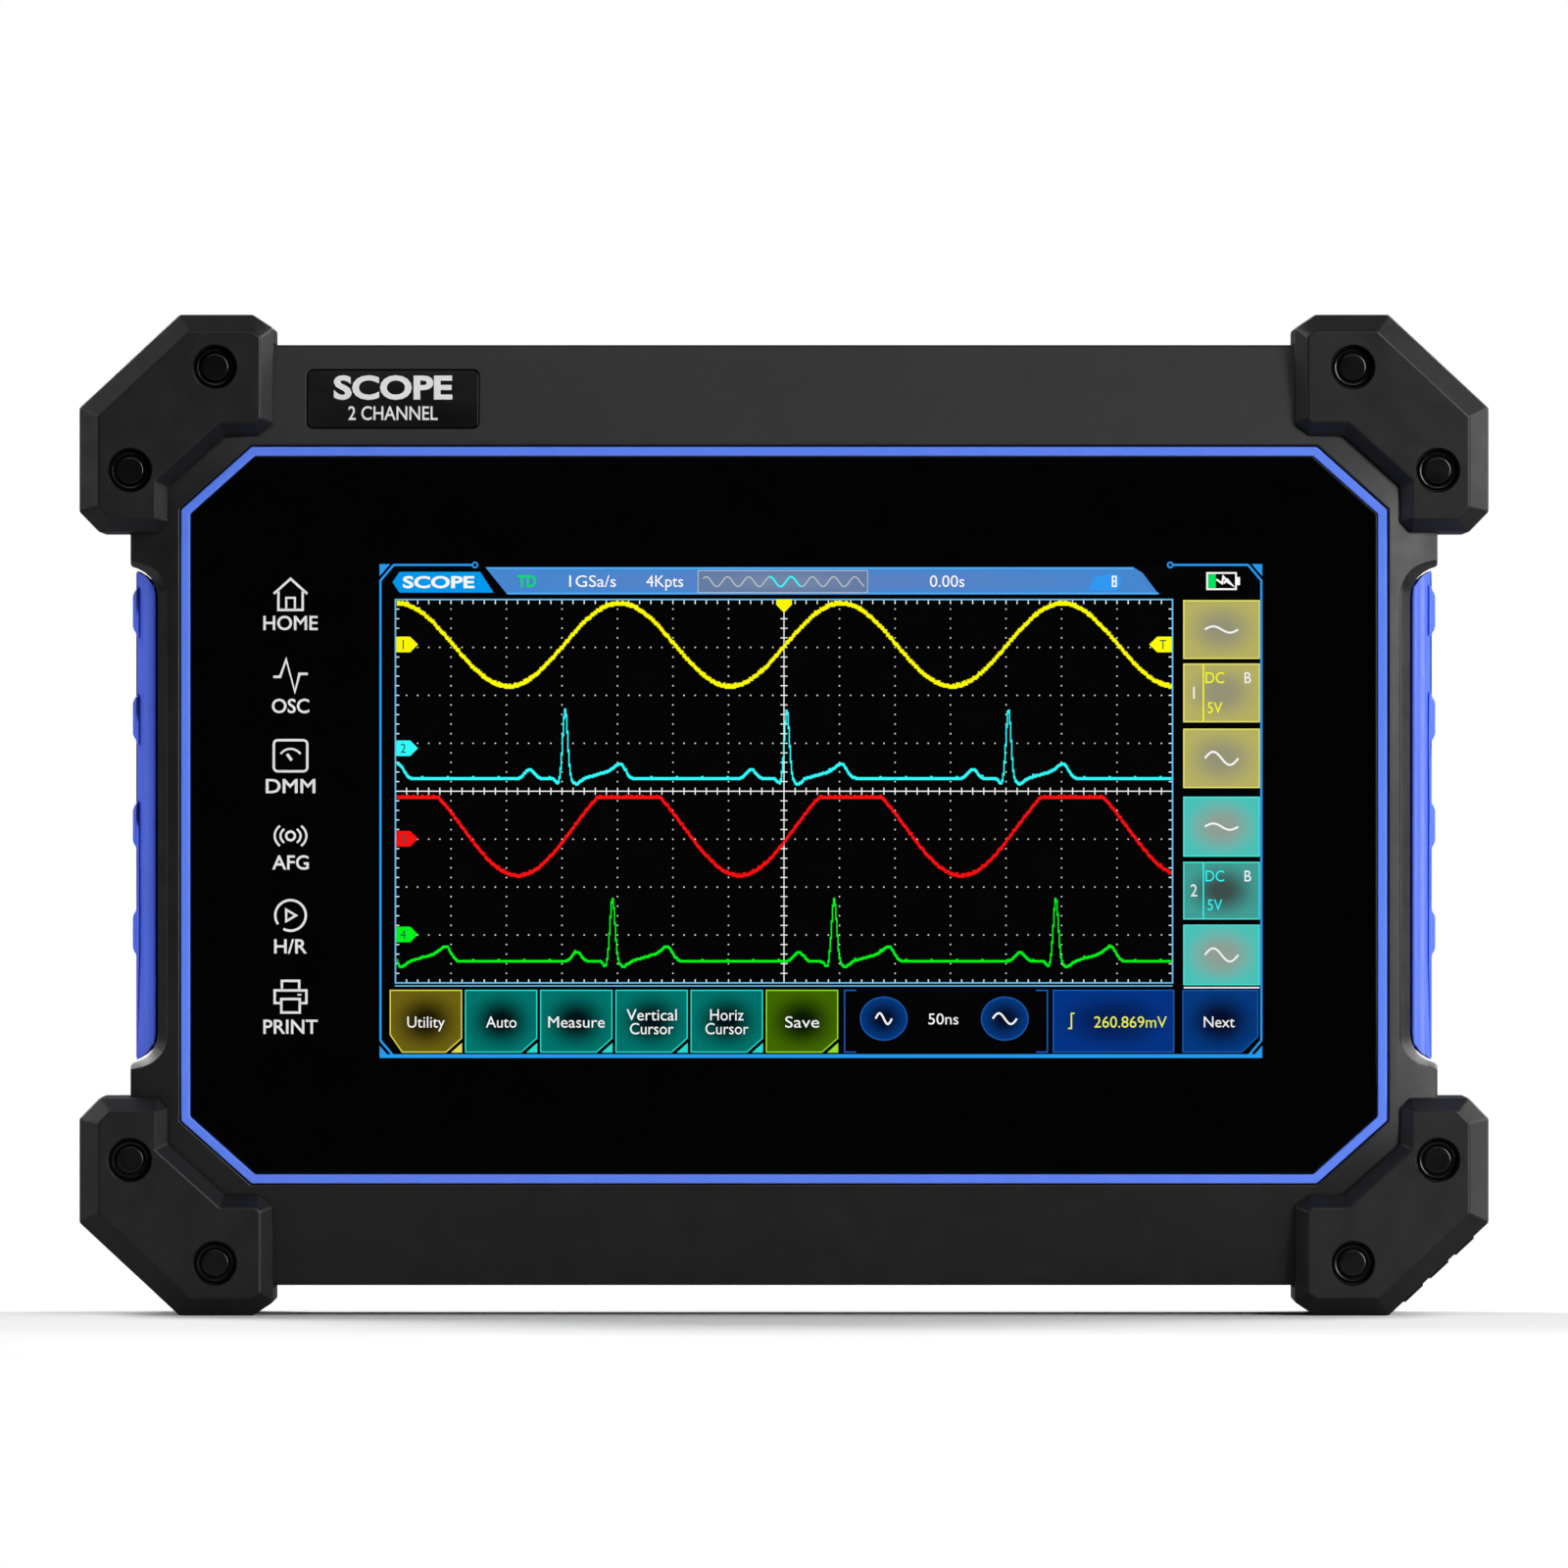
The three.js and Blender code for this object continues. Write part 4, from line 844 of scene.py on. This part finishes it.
def make_status_bar():
    tab = Artwork().polygon([(-67.9, 40.4), (-66.7, 42.2), (-52.7, 42.2), (-50.4, 38.6), (-66.7, 38.6)])
    tab.show("tab", lit("display_tab", (0.0, 0.32, 0.85)), FACES)
    bar = Artwork().polygon([(-51.8, 43.0), (-48.0, 38.3), (65.0, 38.3), (62.2, 42.0), (60.6, 43.0)])
    bar.show("status_bar", glowing_key("status_bar", (0.06, 0.24, 0.62), (0.1, 0.22, 0.55)), FACES)
    edge = Artwork().stroke([(-51.5, 42.85), (60.6, 42.85)], 0.3)
    edge.stroke([(-48.0, 38.45), (65.0, 38.45)], 0.3)
    edge.show("status_edge", lit("status_edge", (0.08, 0.42, 0.92)), EDGES)


def make_status_words():
    """The words on the bar, the storage mark on its pill, and the battery with its charge."""
    white = Artwork().text("SCOPE", -59.9, 39.45, 1.95, width=12.4, weight=0.03)
    for words, x, width in (("1GSa/s", -33.2, 8.1), ("4Kpts", -20.7, 6.4), ("0.00s", 28.3, 6.0)):
        white.text(words, x, STATUS_BASE, STATUS_CAP, width=width)
    white.stroke([(57.0, 39.7), (57.6, 39.7), (57.6, 41.4), (57.0, 41.4)], 0.25, True)
    white.stroke([(57.0, 40.55), (57.6, 40.55)], 0.25)
    white.outline(73.4, 78.4, 39.2, 42.0, 0.3)
    white.rectangle(78.5, 79.1, 39.9, 41.3)
    bolt = [(75.0, 40.9), (76.0, 40.2), (76.2, 41.4), (77.0, 40.4), (78.0, 39.7), (76.9, 40.9), (76.3, 40.2)]
    white.stroke(bolt, 0.35)
    white.show("status_text", lit("status_white", (0.95, 0.95, 0.95)), INK)
    green = Artwork().text("TD", -44.6, STATUS_BASE, STATUS_CAP, width=3.2, weight=0.02)
    green.rectangle(73.6, 74.9, 39.4, 41.8)
    green.show("status_green", lit("status_green", (0.0, 0.75, 0.1)), INK)


def make_preview():
    """The small picture of the whole record, in which the part on the display is bright."""
    box = (-14.9, 14.5, 38.6, 42.4)
    middle, height, length = 40.5, 0.85, 3.68

    def ripple(start, end):
        count = max(2, int((end - start) / 0.2))
        xs = [start + (end - start) * i / count for i in range(count + 1)]
        return [(x, middle + height * math.sin(2 * math.pi * (x + 14.4) / length)) for x in xs]

    face = Artwork().rectangle(*box)
    face.show("preview", glowing_key("preview", (0.13, 0.2, 0.36), (0.17, 0.24, 0.38)), INK)
    rim = Artwork().outline(*box, 0.14)
    rim.stroke(ripple(-14.0, -2.6), 0.22)
    rim.stroke(ripple(2.9, 13.9), 0.22)
    rim.show("preview_rim", lit("preview_grey", (0.48, 0.52, 0.58)), MARKERS)
    near = Artwork().stroke(ripple(-2.6, 2.9), 0.3)
    near.show("preview_trace", lit("preview_trace", CYAN), MARKERS)


def make_status_pill():
    rounded = [(57.8, 41.8), (58.6, 41.0), (58.2, 39.4), (57.4, 38.9)]
    pill = Artwork().polygon([(52.8, 39.0), (53.8, 41.4), (56.4, 41.8), *rounded])
    pill.show("status_pill", lit("status_pill", (0.03, 0.3, 0.85)), EDGES)


def display_key(name, outline, material, edge, corner=None):
    """A key drawn on the display: a shaded face, a bright edge and sometimes a bright corner."""
    Artwork().polygon(outline).show(f"key_{name}", material, FACES)
    rim = Artwork().stroke(outline, KEY_LINE, True)
    if corner:
        rim.polygon(corner)
    rim.show(f"key_{name}_edge", edge, EDGES)


def wave_icon(art, x, z, width, height):
    steps = 16
    sine = [height * math.sin(2 * math.pi * i / steps) for i in range(steps + 1)]
    art.stroke([(x + width * (i / steps - 0.5), z + rise) for i, rise in enumerate(sine)], 0.34)


# The bottom row's keys from the left: name, colour, and each line of words with its width.
BOTTOM_KEYS = [
    ("utility", "olive", [("Utility", 6.5)]),
    ("auto", "teal", [("Auto", 5.3)]),
    ("measure", "teal", [("Measure", 9.8)]),
    ("vertical", "teal", [("Vertical", 8.7), ("Cursor", 7.55)]),
    ("horizontal", "teal", [("Horiz", 5.8), ("Cursor", 7.45)]),
    ("save", "leaf", [("Save", 5.9)]),
]
BOTTOM_LEFT, BOTTOM_PITCH, BOTTOM_WIDTH = -68.3, 13.05, 12.35


def make_bottom_keys():
    bottom, top = KEYS_BOTTOM, KEYS_TOP
    faces = {
        "olive": glowing_key("key_olive", (0.15, 0.115, 0.006), (0.012, 0.008, 0.001)),
        "teal": glowing_key("key_teal", (0.0, 0.17, 0.145), (0.0, 0.006, 0.008)),
        "leaf": glowing_key("key_leaf", (0.05, 0.13, 0.0), (0.002, 0.01, 0.0)),
    }
    edges = {
        "olive": lit("edge_olive", (0.75, 0.68, 0.08)),
        "teal": lit("edge_teal", (0.02, 0.7, 0.6)),
        "leaf": lit("edge_leaf", (0.3, 0.75, 0.02)),
    }
    words = Artwork()
    for place_in_row, (name, colour, lines) in enumerate(BOTTOM_KEYS):
        left = BOTTOM_LEFT + place_in_row * BOTTOM_PITCH
        right = left + BOTTOM_WIDTH
        start = [(left, bottom + 3), (left + 2.1, bottom)] if name == "utility" else [(left, bottom)]
        outline = [*start, (right - 2.7, bottom), (right, bottom + 2.4), (right, top), (left, top)]
        corner = [(right - 1.8, bottom - 0.1), (right + 0.1, bottom - 0.1), (right + 0.1, bottom + 1.6)]
        display_key(name, outline, faces[colour], edges[colour], corner)
        base = -36.85 if len(lines) == 1 else -35.6
        for i, (line, width) in enumerate(lines):
            words.text(line, left + 6.2, base - 2.4 * i, 1.95, width=width)
    words.show("key_words", lit("key_words", KEY_WHITE), INK)


def make_timebase():
    """The two time buttons in their bracket, the trigger level and the Next key."""
    bottom, top = KEYS_BOTTOM, KEYS_TOP
    navy = glowing_key("key_navy", (0.001, 0.04, 0.21), (0.001, 0.004, 0.022))
    royal = glowing_key("key_royal", (0.001, 0.033, 0.23), (0.001, 0.013, 0.09))
    edge = lit("edge_blue", (0.01, 0.1, 0.42))
    display_key("level", [(46.7, bottom), (67.6, bottom), (67.6, top), (46.7, top)], royal, edge)
    outline = [(69.2, bottom), (79.4, bottom), (82.2, bottom + 2.7), (82.2, top), (69.2, top)]
    display_key("next", outline, navy, edge)
    words = Artwork().text("Next", 75.5, -36.8, 1.9, width=5.35)
    words.text("50ns", 27.65, -36.3, 1.9, width=5.2)
    button_z, button_radius, flattening = -35.3, 4.05, 0.92
    for name, x, span in (("narrow", 17.3, 2.8), ("wide", 38.3, 4.2)):
        circle = arc(x, 0, button_radius, 0, 350, 35)
        display_key(f"time_{name}", [(px, button_z + pz * flattening) for px, pz in circle], navy, edge)
        wave_icon(words, x, button_z, span, 0.95)
    words.show("time_words", lit("time_words", KEY_WHITE), INK)
    bracket = Artwork()
    for x, inward in ((10.5, 2), (45.7, -2)):
        bracket.stroke([(x + inward, top), (x, top), (x, bottom), (x + inward, bottom)], 0.22)
    bracket.show("time_bracket", edge, FACES)
    level = Artwork().text("260.869mV", 60.1, -36.85, 1.95, width=12.6)
    level.stroke([(50.4, -34.4), (49.85, -34.4), (49.85, -37.0), (49.3, -37.0)], 0.24)
    level.show("level_words", lit("level_words", (0.8, 0.85, 0.08)), INK)


CHANNEL_LEFT, CHANNEL_RIGHT = 69.35, 82.45
# The right column's keys: name, bottom, top, face, edge, and the height of the wave on it, if it has one.
CHANNEL_KEYS = [
    ("volts_1_down", 27.2, 37.2, "sand", "sand", 0.55),
    ("channel_1", 16.2, 26.2, "sand", "sand", None),
    ("volts_1_up", 4.8, 14.9, "sand", "sand", 1.15),
    ("volts_2_down", -7.1, 3.1, "aqua", "aqua", 0.55),
    ("channel_2", -18.0, -8.2, "deep", "aqua", None),
    ("volts_2_up", -29.4, -19.1, "aqua", "aqua", 1.15),
]


def label_channel(name, bottom, top, white):
    """A channel key's number and B in white, and its coupling and scale in the channel's colour."""
    left, number = CHANNEL_LEFT, name[-1]
    white.text(number, left + 1.75, (bottom + top) / 2 - 1.0, 2.1)
    white.text("B", CHANNEL_RIGHT - 2.0, top - 3.3, 1.9)
    words = Artwork().text("DC", left + 5.4, top - 3.3, 1.9)
    words.text("5V", left + 5.4, bottom + 1.5, 1.9)
    words.stroke([(left + 3.4, bottom), (left + 3.4, top)], 0.22)
    ink = YELLOW if number == "1" else CYAN
    words.show(f"{name}_words", lit(f"{name}_words", ink), INK)


def make_channel_keys():
    left, right = CHANNEL_LEFT, CHANNEL_RIGHT
    faces = {
        "sand": glowing_key("key_sand", (0.46, 0.43, 0.12), (0.3, 0.29, 0.18)),
        "aqua": glowing_key("key_aqua", (0.07, 0.53, 0.47), (0.27, 0.34, 0.3)),
        "deep": glowing_key("key_deep", (0.05, 0.34, 0.3), (0.045, 0.075, 0.07)),
    }
    edges = {"sand": lit("edge_sand", (0.82, 0.8, 0.16)), "aqua": lit("edge_aqua", (0.08, 0.8, 0.7))}
    white = Artwork()
    for name, bottom, top, face, edge, swing in CHANNEL_KEYS:
        outline = [(left, bottom), (right, bottom), (right, top), (left, top)]
        display_key(name, outline, faces[face], edges[edge])
        if swing:
            wave_icon(white, (left + right) / 2, (bottom + top) / 2, 5.8, swing)
        else:
            label_channel(name, bottom, top, white)
    white.rectangle(left, right, -30.05, -29.8)
    white.show("channel_words", lit("channel_words", KEY_WHITE), INK)


# ---------------------------------------------------------------- connectors

BNC_LABELS = {"bnc_channel_1": "CH1", "bnc_channel_2": "CH2", "bnc_generator": "GEN"}
METER_LABELS = {
    "dmm_jack_10a": "10A",
    "dmm_jack_ma": "mA",
    "dmm_jack_common": "COM",
    "dmm_jack_volt_ohm": "VΩ",
}
LABEL_DROP = 4.6  # from the bay's floor
UP = (0, 0, 1)

# Profiles are turned about a connector's axis: radius, and height from its top.
BNC_SHELL = [
    *[(4.05, -7.5), (4.05, -0.35), (4.2, -0.05), (4.4, 0), (4.65, 0), (4.82, -0.15)],
    *[(4.82, -5.2), (4.6, -5.4), (4.6, -6.0), (4.82, -6.2), (4.82, -9.2)],
    *[(5.6, -9.3), (5.7, -10.2), (5.7, -11.4), (4.05, -11.4), (4.05, -7.5)],
]
BNC_STUD = [(0, 0.75), (0.7, 0.75), (0.95, 0.5), (1.0, 0), (1.0, -0.8), (0, -0.8)]
BNC_STUD_PLACE = (5.0, -3.8)
BNC_NUT = [(5.2, -11.35), (6.5, -11.35), (7.05, -11.7), (7.05, -12.95), (5.2, -12.95)]
BNC_WASHER = [(5.0, -12.95), (7.15, -12.95), (7.15, -13.35), (5.0, -13.35)]
BNC_INSULATOR = [
    *[(0.7, -6.5), (0.75, -1.6), (1.6, -1.4), (2.35, -1.4), (2.45, -1.7), (2.45, -7.4)],
    *[(4.1, -7.45), (4.1, -8.5), (0.7, -8.5), (0.7, -6.5)],
]
BNC_CONTACT = [(0, -1.75), (0.25, -1.8), (0.25, -4), (0.62, -1.7), (0.68, -1.85), (0.68, -8), (0, -8)]
METER_SHROUD = [
    *[(4.1, -7), (4.1, -0.4), (4.3, -0.1), (4.5, 0), (5.1, 0), (5.55, -0.2), (5.78, -0.7)],
    *[(5.78, -6), (6.2, -6.25), (6.55, -6.6), (6.55, -7.9), (3.0, -7.9)],
    *[(2.3, -7.9), (2.3, -0.9), (2.35, -0.6), (2.85, -0.6), (3.0, -0.8), (3.0, -7), (4.1, -7)],
]
METER_SLEEVE = [(2.28, -1.1), (2.0, -1.3), (1.95, -1.5), (1.95, -20), (2.28, -20), (2.28, -1.1)]
METER_WELL = [(0, -19.5), (1.96, -19.5), (1.96, -19.9), (0, -19.9)]


def make_bnc(node):
    spot = centre(node)
    top = extent(node)[1].z
    at = (spot.x, spot.y, top)
    metal = [turned(BNC_SHELL, *at, UP)]
    out, drop = BNC_STUD_PLACE
    for side in (-1, 1):
        metal.append(turned(BNC_STUD, spot.x + side * out, spot.y, top + drop, (side, 0, 0), 24))
    metal.append(turned(BNC_NUT, *at, UP, 6))
    metal.append(turned(BNC_WASHER, *at, UP, 48))
    add_piece(f"{node}_shell", bevelled(joined(metal), 0.12), NICKEL, CASE, (node,))
    add_piece(f"{node}_insulator", smoothed(turned(BNC_INSULATOR, *at, UP, 48)), INSULATOR, CASE)
    add_piece(f"{node}_contact", smoothed(turned(BNC_CONTACT, *at, UP, 24)), GOLD, CASE)


def make_meter_socket(node):
    spot = centre(node)
    at = (spot.x, spot.y, extent(node)[1].z)
    slot = NODE_SLOTS[node]
    body = bevelled(turned(METER_SHROUD, *at, UP), 0.12)
    add_piece(f"{node}_shroud", body, SLOT_MATERIALS[slot], CASE, (node,))
    add_piece(f"{node}_sleeve", smoothed(turned(METER_SLEEVE, *at, UP, 40)), NICKEL, CASE)
    add_piece(f"{node}_well", smoothed(turned(METER_WELL, *at, UP, 32)), PLUG_PLASTIC, CASE)


def make_connectors():
    labels = Artwork()
    for node in BNC_LABELS:
        make_bnc(node)
    for node in METER_LABELS:
        make_meter_socket(node)
    for node, words in {**BNC_LABELS, **METER_LABELS, "port_cover": "USB"}.items():
        labels.text(words, -centre(node).x, BAY_FLOOR - LABEL_DROP, 2.3, weight=0.012)
    labels.build("connector_labels", PRINT_WHITE, ON_REAR, FILM)
    refine("port_cover", "port_cover_flap", 0.3)
    refine("usb_a_port", "usb_a_receptacle", 0.12)
    refine("usb_c_port", "usb_c_receptacle", 0.12)


# ---------------------------------------------------------------- button, stand, battery door and screws


def make_power_button():
    refine("power_button", "power_button_cap", 0.35)
    spot = centre("power_button")
    top = extent("power_button")[1].z
    surface = ((spot.x, spot.y, top), (1, 0, 0), (0, 1, 0), (0, 0, 1))
    icon = Artwork().stroke(arc(0, 0, 1.35, 125, 415, 24), 0.34)
    icon.stroke([(0, 0.3), (0, 1.75)], 0.34)
    icon.build("power_button_icon", PRINT_WHITE, surface, FILM, body="button")


def make_stand():
    refine("kickstand", "kickstand_bail", 0.45)
    refine("kickstand_foot", "kickstand_foot_pad", 0.3)


def cap_screw(node, radius):
    """A domed screw with a hexagon socket, in place of a plainer CAD one whose head faces the rear."""
    spot = centre(node)
    at = (spot.x, extent(node)[1].y - HEAD_HEIGHT, spot.z)
    out = (0, 1, 0)
    socket = radius * 0.45
    turns = [math.radians(angle) for angle in range(0, 61, 12)]
    dome = [(radius * math.cos(turn), 0.5 + 1.4 * math.sin(turn)) for turn in turns]
    head = turned([(radius * 0.6, -0.3), (radius, 0), *dome], *at, out, 48)
    crown = turned([dome[-1], (socket, 1.8)], *at, out, 48)
    well = turned([(socket, 1.8), (socket, 0.4), (0, 0.2)], *at, out, 6)
    rim = turned([(socket * 1.12, 1.78), (socket * 0.9, 1.72)], *at, out, 48)
    mesh = smoothed(joined([head, crown, well, rim]))
    add_piece(f"{node}_head", mesh, SCREW_BLACK, CASE, (node,))


def make_rear_details():
    refine("battery_door", "battery_door_panel", 0.35)
    for number in (1, 2):
        cap_screw(f"battery_door_screw_{number}", 2.2)
    for corner in CORNERS:
        cap_screw(f"case_screw_{corner}", 2.7)
    refine("rating_label", "rating_label_film", 0.1)
    low, high = extent("rating_label")
    middle = (low + high) / 2
    surface = ((middle.x, high.y, middle.z), (-1, 0, 0), (0, 0, 1), (0, 1, 0))
    words = Artwork().outline(-21.6, 21.6, -9.6, 9.6, 0.3)
    words.text("DC 5V 3A", -19.6, 4.4, 2.6, weight=0.01, starts=True)
    words.text("7.4V 37Wh", -19.6, -0.9, 2.6, weight=0.01, starts=True)
    words.text("2 CH + GEN + DMM", -19.6, -6.4, 2.3, starts=True)
    words.build("rating_label_print", PRINT_BLACK, surface, FILM)


# ---------------------------------------------------------------- stage, light and camera

FLOOR_RADIUS = 0.4  # in metres
FLOOR_SEEN = (0.9, 0.9, 0.9)
FLOOR_MIRRORED = (0.25, 0.25, 0.25)


def choose_by_ray(tree, kind, other, chosen):
    """End a node tree with one shader for rays of a kind and another for the rest."""
    path = add_node(tree, "LightPath")
    mix = add_node(tree, "MixShader")
    tree.links.new(path.outputs[kind], mix.inputs["Fac"])
    tree.links.new(other, mix.inputs[1])
    tree.links.new(chosen, mix.inputs[2])
    output = next(node for node in tree.nodes if node.type.startswith("OUTPUT"))
    tree.links.new(mix.outputs["Shader"], output.inputs["Surface"])


def make_floor():
    """A pale round table, which the object's own gloss sees darker than the eye does."""
    form = bmesh.new()
    bmesh.ops.create_circle(form, cap_ends=True, segments=96, radius=FLOOR_RADIUS)
    mesh = finished(form, "floor")
    material, seen = principled("floor_pale", FLOOR_SEEN, 0.8)
    tree = material.node_tree
    speck = spread(tree, noise(tree, 25, 4), 0, 1)
    tree.links.new(tint(tree, speck, FLOOR_SEEN, 0.01), seen.inputs["Base Color"])
    mirrored = add_node(tree, "BsdfDiffuse", {"Color": (*FLOOR_MIRRORED, 1)})
    choose_by_ray(tree, "Is Glossy Ray", seen.outputs["BSDF"], mirrored.outputs["BSDF"])
    mesh.materials.append(material)
    linked(bpy.data.objects.new("floor", mesh))


def make_world():
    """White to the eye, and a dim gradient from the horizon up to light the object."""
    world = bpy.data.worlds.new("studio")
    bpy.context.scene.world = world
    world.use_nodes = True
    tree = world.node_tree
    seen = tree.nodes["Background"]
    seen.inputs["Color"].default_value = (1, 1, 1, 1)
    lighting = add_node(tree, "Background", {"Strength": 1})
    direction = add_node(tree, "TexCoord")
    split = add_node(tree, "SeparateXYZ")
    rise = add_remap(tree, (0.02, 0.9), (0.015, 0.22), interpolation_type="SMOOTHSTEP")
    tree.links.new(direction.outputs["Generated"], split.inputs["Vector"])
    tree.links.new(split.outputs["Z"], rise.inputs["Value"])
    tree.links.new(rise.outputs["Result"], lighting.inputs["Color"])
    choose_by_ray(tree, "Is Camera Ray", lighting.outputs["Background"], seen.outputs["Background"])


# Rectangular lights that face the case: place from its middle and size, in metres, and power.
SOFTBOXES = {
    "key": ((0.78, -1.13, 0.34), (0.5, 0.8), 12),
    "front_top": ((0.0, -1.15, 0.75), (0.9, 0.3), 1.2),
    "left_side": ((-1.25, -0.1, 0.45), (0.5, 0.9), 3),
    "right_side": ((1.25, 0.05, 0.35), (0.5, 0.9), 9),
    "behind_left": ((-0.75, 0.85, 0.8), (0.7, 0.8), 16),
    "behind_right": ((0.8, 0.85, 0.7), (0.7, 0.8), 12),
}


def make_lights():
    for name, (where, size, power) in SOFTBOXES.items():
        light = bpy.data.lights.new(name, "AREA")
        light.shape = "RECTANGLE"
        light.size, light.size_y = size
        light.energy = power
        lamp = linked(bpy.data.objects.new(name, light))
        lamp.location = MIDDLE + Vector(where)
        lamp.rotation_euler = (-Vector(where)).to_track_quat("-Z", "Y").to_euler()


VIEW_WIDTH = 272.0  # what the camera sees across, at the front of the case
VIEW_LIFT = 5.4  # how far its line of sight is above the middle of the case
VIEW_DISTANCE = 5.0


def make_camera():
    camera = linked(bpy.data.objects.new("camera", bpy.data.cameras.new("camera")))
    front = place(0, GLASS_FRONT, VIEW_LIFT)
    camera.location = front - Vector((0, VIEW_DISTANCE, 0))
    camera.rotation_euler = (math.radians(90), 0, 0)
    camera.data.sensor_width = 36
    camera.data.lens = camera.data.sensor_width * VIEW_DISTANCE / (VIEW_WIDTH * MM)
    bpy.context.scene.camera = camera
    bpy.context.scene.view_settings.view_transform = "Standard"


make_camera()
make_case()
make_bumpers()
make_nameplate()
make_touch_keys()
make_screen_base()
make_screen_frame()
make_grid()
make_traces()
make_markers()
make_status_bar()
make_status_words()
make_preview()
make_status_pill()
make_bottom_keys()
make_timebase()
make_channel_keys()
make_connectors()
make_power_button()
make_stand()
make_rear_details()
make_floor()
make_world()
make_lights()
